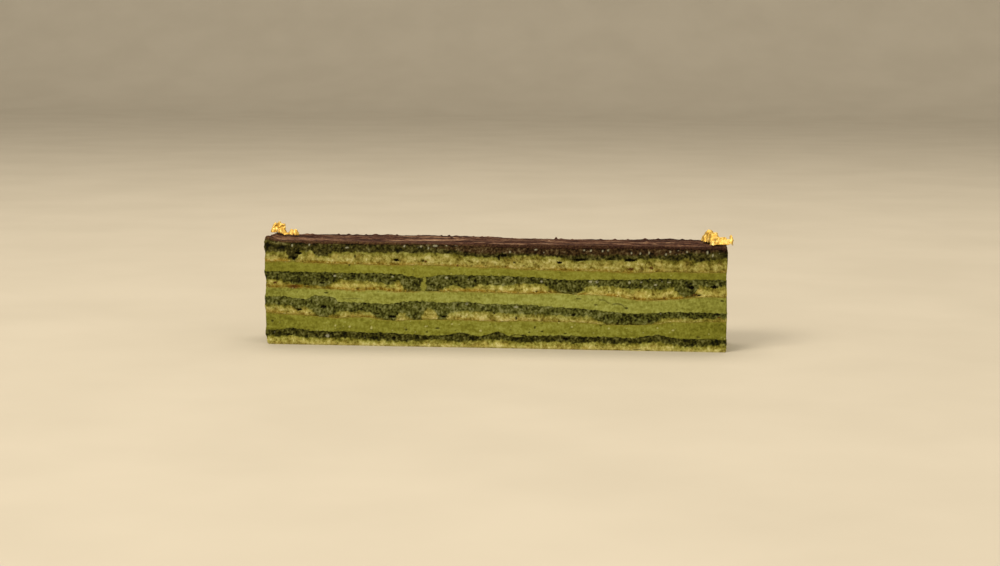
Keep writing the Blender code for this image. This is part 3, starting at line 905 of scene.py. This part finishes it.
def sponge(name, upper, lower):
    x, y, z, nx, ny, t = wall(name, EDGES[upper], EDGES[lower])
    p = pts(x, y, z)
    front = np.broadcast_to((SIDE == 0)[None], x.shape).astype(float)
    seed = 10 * int(name[-1])
    foot, top = EDGES[lower][None], EDGES[upper][None]
    depth_top, depth_foot = top - z, z - foot
    shift = 0.8 * perlin(p / 1.1, seed + 31) + 0.4 * perlin(p / 0.5, seed + 32)
    edge = np.interp(np.arange(COLUMNS)[None] + shift / STEP, np.arange(COLUMNS),
                     soaked_edge(name, PX, PY), period=COLUMNS)
    s = z - edge + 0.55 * fbm(p / 1.4, seed + 1) + 0.36 * perlin(p / 0.62, seed + 2)
    soak = smooth(-0.70, 0.56, s)
    damp = smooth(-1.7, -0.1, s + 0.7 * perlin(p / 1.9, seed + 11))
    calm = 0.82 if name == "sponge_1" else 0.92
    grain = 0.5 * (1 - calm) + calm * even(perlin(p / 0.62, seed + 7) + 0.42 * perlin(p / 0.34, seed + 8)
                 + 0.62 * perlin(p / 1.3, seed + 15)
                 + 0.42 * perlin(pts(x / 3.4, y / 3.4, z / 1.9), seed + 16))
    # painted shade: a dark line along the top of the sponge, in the cleft under the layer above
    line = {"sponge_1": 0.16, "sponge_2": 0.14, "sponge_3": 0.0, "sponge_4": 0.06}[name]
    line = line * (0.4 + 1.2 * smooth(-0.3, 0.4, perlin(pts(x / 5, y / 5, 0), seed + 33)))
    # the darker stretches at the ends of the bar are painted shade, where the light falls off
    grain = grain - line * smooth(0.45, 0.0, depth_top) + stretches(WET_TONE_AND_END_SHADE, name, x)
    if name == "sponge_1":             # greener and lighter under the left corner
        near = smooth(9, 4, x + L / 2) * smooth(2, 0, y + D / 2)
        grain = grain + near * (0.36 * smooth(1.1, 0.5, depth_top)
                                - 0.46 * np.exp(-((depth_top - 1.6) / 0.6) ** 2))
    fibre = even(0.55 * perlin(pts((x + 0.3 * z) / 0.42, y / 0.42, z / 0.7), seed + 12)
                 + 0.75 * perlin(p / 0.75, seed + 13)
                 + 0.90 * perlin(pts(x / 1.7, y / 1.7, z / 1.2), seed + 17)
                 + 0.60 * perlin(pts(x / 4.4, y / 4.4, z / 1.8), seed + 18))
    # the darker stretches at the ends of the bar are painted shade, where the light falls off
    fibre = 0.08 + 0.84 * fibre + stretches(DRY_TONE_AND_END_SHADE, name, x)
    light = smooth(0.02, 0.75, perlin(pts(x / 2.6, y / 2.6, z / 0.9), seed + 19)
                   + 0.5 * perlin(p / 0.8, seed + 20)) * smooth(-0.5, -1.1, s)
    # pores of the crumb, closed where it is soaked
    f1, h1, h2 = cells(p / np.array((1.05, 1.05, 0.9)), seed + 3)
    radius = 0.13 + 0.22 * h1 ** 2
    pores = smooth(radius, radius * 0.4, f1) * (h2 < 0.42 + 0.35 * smooth(
        1.4, 0.4, depth_foot))
    # rarer, bigger holes away from the front face, which has its own
    b1, m1, m2 = cells(p / np.array((7.5, 7.5, 3.2)), seed + 5)
    big = smooth(0.13, 0.06, b1) * (m2 < 0.55) * (1 - front)
    # clefts between the wet crumbs, painted black as shade
    c1, n1, n2 = cells(p / np.array((1.6, 1.6, 1.1)), seed + 4)
    cleft = smooth(0.26, 0.12, c1) * (n2 < 0.38) * soak
    holes = spots(name, HOLES, x, z, front, 0.8, 0.55, True)
    pits = np.maximum(holes, big)
    breaks = spots(name, BREAKS, x, z, front, 0.6, 0.35)
    smear = spots(name, SMEARS, x, z, front, 1.0, 0.6)
    painted_glints = spots(name, SPECKS_AND_GLINTS, x, z, front, 0.7)
    # painted highlights: pale glints of the wet crumb, in a band near the top of the sponge
    s1, q1, q2 = cells(p / np.array((1.25, 1.25, 0.9)), seed + 6)
    band = smooth(1.9, 1.1, depth_top) * smooth(0.1, 0.4, depth_top)
    place = x + L / 2
    amount = 0.08
    if name == "sponge_1":
        amount = 0.12 + 0.42 * smooth(92, 96, place) * smooth(137, 135, place) \
            + 0.15 * smooth(37, 41, place) * smooth(61, 58, place)
    glint = smooth(0.20, 0.10, s1) * (q2 < amount) * band * soak
    painted_glints = np.maximum(painted_glints, (0.40 + 0.5 * q1) * glint)
    choc = np.zeros_like(z)
    if name == "sponge_1":
        reach = 0.30 + 0.45 * smooth(30, 50, place + 60 * (y > -D / 2 + 1)) \
            + 0.5 * perlin(pts(x / 7, y / 7, 1), 55) \
            + 1.1 * smooth(42, 66, place + 60 * (y > -D / 2 + 1)) \
            * smooth(130, 120, place - 60 * (y > -D / 2 + 1))
        choc = smooth(reach + 0.45, reach - 0.45,
                      depth_top + 0.35 * perlin(p / 0.8, 56))
        choc = choc * smooth(1.0, 4.0, place + 20 * (y > -D / 2 + 4))
        choc = choc * (0.35 + 0.65 * smooth(40, 62, place + 60 * (y > -D / 2 + 1)))
    # relief: coarse crumb where dry, wet clumps where soaked
    open_crumb = (1 - 0.6 * soak) * (1 - breaks)
    d = -INSET + broad_wave(x, y, z)
    d = d + open_crumb * (0.16 * (fibre - 0.5) + 0.10 * (grain - 0.5))
    d = d + soak * (1 - breaks) * 0.26 * (grain - 0.5)
    d = d - 0.24 * pores * open_crumb - 0.22 * cleft - 0.7 * pits
    d = d + 0.05 * painted_glints + 0.04 * breaks
    if lower == "underside":
        d = d - 0.22 * smooth(0.45, 0.0, depth_foot)
    d = np.minimum(d, -0.01)
    # crust line: the browned skin right above the cream
    strength = along_front(name, BAKED, PX, PY)[None]
    wander = 0.10 * perlin(pts(x / 2.0, y / 2.0, 5), seed + 9)
    if lower == "underside":
        crust = 0.6 * np.exp(-((depth_foot - 0.42 - 0.5 * wander) / 0.12) ** 2)
        # painted light: the crumb along the bottom edge made lighter, as if lit from below by the floor
        light = np.maximum(light, 0.8 * smooth(0.9, 0.3, depth_foot))
        fibre = fibre + 0.08 * smooth(1.1, 0.4, depth_foot)
    else:
        crust = np.exp(-(np.maximum(depth_foot - 0.30 - wander, 0) / 0.48) ** 2)
        dots = smooth(0.30, 0.16, cells(p / np.array((1.1, 1.1, 0.7)), seed + 14)[0])
        crust = np.maximum(crust, 0.9 * dots * smooth(1.3, 0.5, depth_foot))
    patch = smooth(-0.45, 0.15, perlin(pts(x / 4.5, y / 4.5, seed), seed + 10))
    crust = crust * (0.5 + 0.5 * patch) * strength * (1 - 0.8 * soak)
    if name == "sponge_2":
        crust = np.minimum(1.25 * crust, 1)
    attributes = {
        "soak": soak, "damp": damp, "crust": crust, "choc": choc,
        "speck_and_glint": painted_glints, "cream": breaks, "grain": grain, "fibre": fibre,
        "smear": smear, "light": light, "hole": pits,
        "pore": np.clip(0.75 * pores * open_crumb + 0.8 * cleft, 0, 1),
    }
    return x + nx * d, y + ny * d, z, attributes


def cream(name, upper, lower):
    x, y, z, nx, ny, t = wall(name, EDGES[upper], EDGES[lower])
    p = pts(x, y, z)
    front = np.broadcast_to((SIDE == 0)[None], x.shape).astype(float)
    seed = 100 + 10 * int(name[-1])
    depth_top, depth_foot = EDGES[upper][None] - z, z - EDGES[lower][None]
    f1, h1, h2 = cells(p / np.array((2.2, 2.2, 1.8)), seed)
    pits = smooth(0.13, 0.06, f1) * (h2 < 0.4)
    holes = spots(name, HOLES, x, z, front)
    smear = spots(name, SMEARS, x, z, front, 1.0, 0.6)
    s1, q1, q2 = cells(p / np.array((1.9, 1.9, 1.3)), seed + 1)
    speck_and_glint = smooth(0.15, 0.07, s1) * (q2 < (0.45 if name == "cream_3" else 0.12))
    speck_and_glint = np.maximum(0.75 * speck_and_glint, spots(name, SPECKS_AND_GLINTS, x, z, front, 0.7))
    # crumbs of wet sponge that the knife dragged up from below
    g1, r1, r2 = cells(p / np.array((0.9, 0.9, 0.55)), seed + 2)
    grit = smooth(0.32, 0.16, g1) * (r2 < 0.40) * smooth(0.9, 0.2, depth_foot)
    torn_edge = 0.75 * perlin(p / 0.6, seed + 6) + 0.5 * perlin(p / 0.34, seed + 7)
    grit = np.maximum(grit, smooth(0.05, 0.6, torn_edge + 0.75 - depth_foot / 0.26))
    mottle = even(perlin(p / 0.5, seed + 8) + 0.9 * perlin(p / 0.95, seed + 9)
                  + 0.8 * perlin(pts(x / 2.6, y / 2.6, z / 1.2), seed + 10)
                  + 0.5 * perlin(pts(x / 6.0, y / 6.0, z / 1.0), seed + 11))
    # the darker stretches at the ends of the bar are painted shade, where the light falls off
    mottle = 0.08 + 0.84 * mottle + stretches(DRY_TONE_AND_END_SHADE, name, x)
    above = {"cream_1": "sponge_1", "cream_2": "sponge_2", "cream_3": "sponge_3"}[name]
    rust = 0.60 * along_front(above, BAKED, PX, PY)[None] * smooth(
        0.55, 0.0, depth_top + 0.22 * perlin(p / 0.8, seed + 12))
    g1, r1, r2 = cells(p / np.array((2.4, 2.4, 1.0)), seed + 3)
    grit = np.maximum(grit, 0.8 * smooth(0.16, 0.08, g1) * (r2 < 0.3))
    d = -INSET - 0.01 + broad_wave(x, y, z)
    d = d + 0.05 * fbm(pts(x / 7, y / 7, z / 0.9), seed + 4, 3)
    d = d + 0.03 * perlin(p / 0.8, seed + 5)
    d = d - 0.16 * pits - 0.40 * holes + 0.05 * speck_and_glint + 0.04 * grit
    if name == "cream_2":              # hair cracks where the spread tore
        a = x + L / 2
        line = 13.75 + 0.25 * np.sin((a - 104) / 1.0) - 0.9 * smooth(106.8, 108.4, a)
        torn = np.exp(-((z - line) / 0.19) ** 2) * smooth(103.4, 104.8, a) \
            * smooth(109.0, 108.2, a)
        line = 15.3 - 0.35 * (a - 100.5) + 0.2 * np.sin(a * 2.3)
        torn = np.maximum(torn, 0.9 * np.exp(-((z - line) / 0.17) ** 2)
                          * smooth(99.5, 100.6, a) * smooth(104.0, 103.0, a))
        line = 14.15 + 0.12 * np.sin(a / 1.3) + 0.10 * perlin(p / 0.9, 7)
        torn = np.maximum(torn, 0.7 * np.exp(-((z - line) / 0.13) ** 2)
                          * smooth(22.5, 24.5, a) * smooth(29.5, 27.5, a))
        line = 16.4 + 0.14 * np.sin(a / 1.1)
        torn = np.maximum(torn, 0.5 * np.exp(-((z - line) / 0.09) ** 2)
                          * smooth(1.0, 3.0, a) * smooth(9.0, 6.0, a))
        torn = torn * front
        d = d - 0.2 * torn
        # painted shade: the cracks get the dark colour of the pits
        holes = np.maximum(holes, torn)
    d = np.minimum(d, -0.01)
    attributes = {"pore": np.clip(0.7 * pits + holes, 0, 1), "speck_and_glint": speck_and_glint,
                  "smear": smear, "grit": grit, "mottle": mottle, "rust": rust}
    return x + nx * d, y + ny * d, z, attributes


def glaze():
    """The glaze: a fine grid on top, its cut edge round it, and a flat foot."""
    name = "glaze"
    top = glaze_height(PX, PY) - 0.12
    foot = np.minimum(EDGES["glaze_foot"], top - 0.30)
    x, y, z, nx, ny, t = wall(name, top, foot)
    p = pts(x, y, z)
    d = -INSET + broad_wave(x, y, z) + 0.06 * fbm(p / 1.6, 140, 3)
    d = d + 0.04 * perlin(pts(x / 0.7, y / 0.7, z / 3), 141)
    d = d - 0.16 * smooth(0.35, 0.0, top[None] - z)
    d = np.minimum(d, -0.01)
    gx, gy = x + nx * d, y + ny * d
    verts, faces, walls, wall_uv = make_mesh(name, (gx, gy, z), cap_top=False)
    # the top: an inner grid joined to the wall's first row
    xs = -L / 2 + L * np.arange(1, NX) / NX
    ys = -D / 2 + D * np.arange(1, NY) / NY
    ix, iy = np.meshgrid(xs, ys, indexing="ij")
    iz = glaze_height(ix, iy)
    rim = np.minimum(L / 2 - np.abs(ix), D / 2 - np.abs(iy))
    iz = iz - 0.12 * smooth(0.7, 0.0, rim)
    shift = np.stack([gx[0] - PX, gy[0] - PY], -1)
    reach = 1.6
    wf = np.clip(1 - (iy + D / 2) / reach, 0, 1)
    wb = np.clip(1 - (D / 2 - iy) / reach, 0, 1)
    wr = np.clip(1 - (L / 2 - ix) / reach, 0, 1)
    wl = np.clip(1 - (ix + L / 2) / reach, 0, 1)
    col, row = np.arange(1, NX), np.arange(1, NY)
    jy = iy + wf * shift[col, 1][:, None] + wb * shift[2 * NX + NY - col, 1][:, None]
    jx = ix + wr * shift[NX + row, 0][None] \
        + wl * shift[(2 * NX + 2 * NY - row) % COLUMNS, 0][None]
    first = len(verts)
    inner = np.stack([jx, jy, iz], -1).reshape(-1, 3)
    number = np.full((NX + 1, NY + 1), -1)
    number[1:NX, 1:NY] = first + np.arange((NX - 1) * (NY - 1)).reshape(NX - 1, NY - 1)
    number[0:NX, 0] = np.arange(0, NX)
    number[NX, 0:NY] = NX + np.arange(0, NY)
    number[NX:0:-1, NY] = NX + NY + np.arange(0, NX)
    number[0, NY:0:-1] = 2 * NX + NY + np.arange(0, NY)
    quads = np.stack([number[:-1, :-1], number[1:, :-1], number[1:, 1:],
                      number[:-1, 1:]], -1).reshape(-1, 4)
    lids = faces[walls:]
    faces = faces[:walls] + [tuple(q) for q in quads.tolist()] + lids
    verts = np.concatenate([verts, inner])
    # map: the top in two halves, the wall in strips under them
    iu, iv = np.meshgrid(np.arange(NX), np.arange(NY), indexing="ij")
    half = (iu >= NX / 2).astype(float)

    def place(a, b):
        u = (a - half * NX / 2) / (NX / 2)
        return np.stack([0.004 + 0.992 * u,
                         0.36 + 0.312 * half + 0.304 * b / NY], -1)
    top_uv = np.stack([place(iu, iv), place(iu + 1, iv), place(iu + 1, iv + 1),
                       place(iu, iv + 1)], 2).reshape(-1, 2)
    wall_uv = wall_uv.copy()
    wall_uv[:, 1] *= 0.35
    yy, tt, strength = strokes(verts[:, 0], verts[:, 1])
    vx, vy = verts[:, 0] + L / 2, verts[:, 1]
    wx = vx + 1.2 * perlin(pts(vx / 5, vy / 2, 1), 18)
    wy = vy + 0.5 * perlin(pts(vx / 6, vy / 1.5, 2), 19) \
        + 0.25 * perlin(pts(vx / 1.6, vy / 0.7, 3), 20)
    # painted reflection of the room on the strokes and painted shade between them, for the top's colour
    sheen_and_shade = 0.42 + 0.16 * (smooth(0.2, 0.45, tt) * smooth(1, 0.7, tt) * strength - 0.4) \
        + 0.16 * perlin(pts(vx / 9, vy / 2.2, 4), 17) \
        + 0.12 * perlin(pts(vx / 2.4, vy / 1.1, 5), 21)
    for xa, ya, xb, yb, ha, hb, power in STROKES:
        along = (wx - xa) / (xb - xa)
        a = np.clip(along, 0, 1)
        side = (wy - (ya + (yb - ya) * a)) / (ha + (hb - ha) * a)
        end = smooth(-0.06, 0.10, along) * smooth(1.05, 0.80, along)
        sheen_and_shade = sheen_and_shade + 0.40 * power * end * smooth(1.35, 0.45, np.abs(side))
        if power > 0:                  # the dark lap along a light stroke
            # painted shade: the dark lap along a light stroke
            sheen_and_shade = sheen_and_shade - 0.32 * end * np.exp(-((side + 1.40) / 0.34) ** 2)
    sheen_and_shade = np.clip(sheen_and_shade + 0.06 * smooth(-7, 1, vy), 0, 1)
    # painted shade in the grooves of the strokes
    groove_shade = np.maximum(smooth(0.20, 0.10, tt), smooth(0.93, 1.0, tt)) \
        * (0.35 + 0.65 * strength)
    # near its rim the top takes the darker colours of the cut face: painted shade over the rounded edge,
    # where the light catches it
    side = np.concatenate([np.broadcast_to(0.8 + 0.2 * smooth(0.05, 0.3, top[None] - z),
                                           z.shape).reshape(-1),
                           0.8 * smooth(0.45, 0.05, rim).reshape(-1)])
    lift = 0.09 * smooth(72, 30, vx) - 0.05 * smooth(80, 110, vx) \
        + 0.03 * perlin(pts(vx / 3, vy / 3, verts[:, 2] / 0.5), 23)
    return finish_mesh("chocolate_glaze", verts, faces, walls + len(quads),
                       np.concatenate([wall_uv, top_uv]),
                       {"side": side, "sheen_and_shade": sheen_and_shade, "groove_shade": groove_shade, "lift": lift})


# --------------------------------------------------------------- gold leaf
# Each flake: humps (x, y, half sizes along x and y, turn in degrees, height),
# and how the crumpling is seeded
LEAVES = {
    "gold_leaf_left": {
        "humps": [(-69.5, 4.4, 1.2, 1.7, 0, 3.1), (-68.3, 4.0, 1.4, 1.7, 10, 3.55),
                  (-66.9, 3.6, 1.4, 1.5, 0, 3.45), (-65.3, 2.6, 1.3, 0.9, 0, 1.2),
                  (-63.8, 2.2, 1.2, 1.3, 0, 2.2), (-62.4, 1.4, 1.1, 1.2, 20, 2.3),
                  (-69.2, 2.5, 0.9, 1.2, 0, 1.6)],
        "seed": 4, "box": (-70.5, -60.6, -1.2, 7.0),
    },
    "gold_leaf_right": {
        "humps": [(63.4, 0.4, 2.2, 3.2, 10, 3.7), (65.0, -3.0, 2.0, 2.6, 20, 3.3),
                  (66.3, -6.0, 1.7, 2.4, 25, 2.4), (65.2, -9.0, 1.4, 1.5, 0, 1.6),
                  (67.6, -8.0, 2.0, 1.8, 60, 2.5), (68.9, -8.4, 1.2, 1.6, 0, 2.2),
                  (69.8, -8.2, 0.95, 1.3, 0, 3.2)],
        "seed": 9, "box": (60.5, 70.95, -10.6, 4.6),
    },
}


def leaf(name, spec):
    """A flake of foil: steep humps, crumpled by noise with sharp creases."""
    cell = 0.09
    x0, x1, y0, y1 = spec["box"]
    nu, nv = int((x1 - x0) / cell), int((y1 - y0) / cell)
    x, y = np.meshgrid(np.linspace(x0, x1, nu), np.linspace(y0, y1, nv),
                       indexing="ij")
    seed = spec["seed"]
    q = pts(x, y, 0.0)
    wx = x + 0.50 * perlin(q / 1.6 + 3.3, seed) + 0.14 * perlin(q / 0.7, seed + 1)
    wy = y + 0.50 * perlin(q / 1.6 + 7.7, seed + 2) + 0.14 * perlin(q / 0.7, seed + 3)
    rise = np.zeros_like(x)
    for cx, cy, rx, ry, turn, height in spec["humps"]:
        a = math.radians(turn)
        u = (wx - cx) * math.cos(a) + (wy - cy) * math.sin(a)
        v = -(wx - cx) * math.sin(a) + (wy - cy) * math.cos(a)
        r = np.sqrt((u / rx) ** 2 + (v / ry) ** 2)
        rise = np.maximum(rise, height * np.clip(1 - np.clip(r, 0, 1) ** 2.6, 0, 1))
    crease = 1 - 2 * np.abs(perlin(q / 1.9 + seed, seed + 4))
    crease2 = 1 - 2 * np.abs(perlin(q / 0.9 + seed, seed + 5))
    fold = 0.84 + 0.17 * crease + 0.07 * crease2
    ground = glaze_height(np.clip(x, -L / 2, L / 2), np.clip(y, -D / 2, D / 2))
    h = rise * np.clip(fold, 0.25, 1.05)
    free = smooth(0.4, 1.8, h)
    px = x + free * (0.50 * perlin(pts(x / 1.5, y / 1.5, h / 1.3), seed + 6)
                     + 0.10 * crease2)
    py = y + free * (0.45 * perlin(pts(x / 1.5, y / 1.5, h / 1.3 + 9), seed + 7)
                     - 0.12 * crease)
    py = py + 0.22 * h * (y < 3)                      # leans back a little
    px = np.clip(px, -70.45, 71.2)
    py = np.clip(py, -10.65, 10.65)
    pz = np.minimum(ground + 0.02 + h, 35.95)
    keep = rise > 0.30
    cells_kept = keep[:-1, :-1] & keep[1:, :-1] & keep[1:, 1:] & keep[:-1, 1:]
    # keep only the largest connected patch
    label = np.where(cells_kept, np.arange(cells_kept.size).reshape(cells_kept.shape), -1)
    for _ in range(400):
        grown = label.copy()
        for axis in (0, 1):
            for step in (1, -1):
                other = np.roll(label, step, axis)
                grown = np.where(cells_kept, np.maximum(grown, np.where(
                    np.roll(cells_kept, step, axis), other, -1)), -1)
        if (grown == label).all():
            break
        label = grown
    names, counts = np.unique(label[label >= 0], return_counts=True)
    cells_kept = label == names[np.argmax(counts)]
    index = np.arange(nu * nv).reshape(nu, nv)
    quads = np.stack([index[:-1, :-1], index[1:, :-1], index[1:, 1:],
                      index[:-1, 1:]], -1)[cells_kept]
    used, quads = np.unique(quads, return_inverse=True)
    quads = quads.reshape(-1, 4)
    verts = np.stack([px, py, pz], -1).reshape(-1, 3)[used] * MM
    me = bpy.data.meshes.new(name)
    me.from_pydata(verts.tolist(), [], quads.tolist())
    me.polygons.foreach_set("use_smooth", np.ones(len(me.polygons), bool))
    me.update()
    ob = bpy.data.objects.new(name, me)
    bpy.context.scene.collection.objects.link(ob)
    thick = ob.modifiers.new("thickness", "SOLIDIFY")
    thick.thickness = 0.05 * MM
    thick.offset = 1.0
    return ob


# ------------------------------------------------------------------- build
SOAKED_LOOK = {
    "sponge_1": (seen(7, 7, 0), seen(30, 27, 1), seen(55, 49, 12),
                 seen(74, 67, 25), seen(108, 100, 52)),
    "sponge_2": (seen(12, 12, 0), seen(44, 42, 5), seen(69, 67, 18),
                 seen(90, 87, 36), seen(122, 117, 66)),
    "sponge_3": (seen(16, 16, 0), seen(48, 46, 6), seen(74, 73, 22),
                 seen(94, 92, 38), seen(124, 120, 68)),
    "sponge_4": (seen(8, 8, 0), seen(30, 28, 0), seen(54, 50, 8),
                 seen(74, 70, 22), seen(106, 100, 48)),
}
CREAM_LOOK = {
    "cream_1": (seen(101, 95, 17), seen(125, 119, 34), seen(145, 140, 53)),
    "cream_2": (seen(107, 103, 28), seen(141, 137, 54), seen(163, 161, 79)),
    "cream_3": (seen(93, 88, 12), seen(123, 118, 33), seen(148, 144, 58)),
}
LIFT = {"sponge_1": 0.99, "sponge_2": 1.22, "sponge_3": 1.06, "sponge_4": 1.28}
NAMES = {"sponge": "soaked_sponge_", "cream": "matcha_cream_"}

for node, upper, lower in LAYERS:
    kind, number = node.split("_")
    if kind == "sponge":
        gx, gy, gz, attributes = sponge(node, upper, lower)
        look = sponge_material(NAMES[kind] + number, SOAKED_LOOK[node], LIFT[node])
    else:
        gx, gy, gz, attributes = cream(node, upper, lower)
        look = cream_material(NAMES[kind] + number, *CREAM_LOOK[node])
    verts, faces, walls, uv = make_mesh(node, (gx, gy, gz))
    ob = finish_mesh(NAMES[kind] + number, verts, faces, walls, uv, attributes)
    ob.data.materials.append(look)
    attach(ob, "root")
    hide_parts(node)

ob = glaze()
ob.data.materials.append(glaze_material("combed_glaze"))
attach(ob, "root")
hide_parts("glaze")

gold = gold_material("gold_leaf")
for node, spec in LEAVES.items():
    ob = leaf(node.replace("gold_leaf", "leaf_flake"), spec)
    ob.data.materials.append(gold)
    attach(ob, "root")
    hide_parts(node)

# ------------------------------------------------------------------- stage
floor = bpy.data.meshes.new("floor")
half, back, bend, high = 4.0, 1.6, 0.5, 3.0
line = [(-3.0, 0.0), (back, 0.0)]
for k in range(1, 13):
    a = math.pi / 2 * k / 12
    line.append((back + bend * math.sin(a), bend * (1 - math.cos(a))))
line.append((back + bend, high))
fv, ff = [], []
for yy, zz in line:
    fv += [(-half, yy, zz), (half, yy, zz)]
for k in range(len(line) - 1):
    ff.append((2 * k, 2 * k + 1, 2 * k + 3, 2 * k + 2))
floor.from_pydata(fv, [], ff)
floor.polygons.foreach_set("use_smooth", [True] * len(ff))
floor_ob = bpy.data.objects.new("floor", floor)
bpy.context.scene.collection.objects.link(floor_ob)
fm = Nodes("pale_floor")
fm.set(Base_Color=fm.ramp(fm.noise(60, 3, 0.5), [(0.35, (0.55, 0.53, 0.49)),
                                                  (0.65, (0.58, 0.56, 0.52))]))
fm.bsdf.inputs["Roughness"].default_value = 0.7
fm.bsdf.inputs["Specular IOR Level"].default_value = 0.2
floor.materials.append(fm.mat)

world = bpy.data.worlds.new("soft")
bpy.context.scene.world = world
world.use_nodes = True
bg = world.node_tree.nodes["Background"]
bg.inputs["Color"].default_value = (*WARM, 1.0)
bg.inputs["Strength"].default_value = 0.62


def area(name, place, aim, size, power):
    light = bpy.data.lights.new(name, "AREA")
    light.shape = "RECTANGLE"
    light.size, light.size_y = size
    light.energy = power
    light.color = WARM
    ob = bpy.data.objects.new(name, light)
    bpy.context.scene.collection.objects.link(ob)
    ob.location = place
    ob.rotation_euler = (Vector(aim) - Vector(place)).to_track_quat("-Z", "Y").to_euler()
    return ob


area("key", (-0.55, -0.75, 0.85), (0, 0, 0.015), (0.6, 0.45), 10.0)
area("fill", (0.8, -0.7, 0.5), (0, 0, 0.015), (0.8, 0.6), 3.0)
area("top", (0.0, 0.35, 0.9), (0, 0, 0.02), (0.8, 0.5), 4.0)

# ------------------------------------------------------------------ camera
cam = bpy.data.cameras.new("camera")
cam.lens = 75.0
cam.sensor_width = 36.0
cam.clip_start, cam.clip_end = 0.02, 20.0
camera = bpy.data.objects.new("camera", cam)
bpy.context.scene.collection.objects.link(camera)
look_x, look_y = -0.08984, 0.996
pitch, roll = math.radians(6.995), math.radians(0.29)
ahead = Vector((look_x, look_y, 0)).normalized()
F = ahead * math.cos(pitch) + Vector((0, 0, -1)) * math.sin(pitch)
R = ahead.cross(Vector((0, 0, 1))).normalized()
U = R.cross(F)
R2 = R * math.cos(roll) + U * math.sin(roll)
U2 = U * math.cos(roll) - R * math.sin(roll)
m = Matrix((R2, U2, -F)).transposed().to_4x4()
m.translation = Vector((0.05705, -0.6252, 0.09545))
camera.matrix_world = m
bpy.context.scene.camera = camera
bpy.context.scene.view_settings.view_transform = "Standard"
bpy.context.scene.view_settings.look = "None"
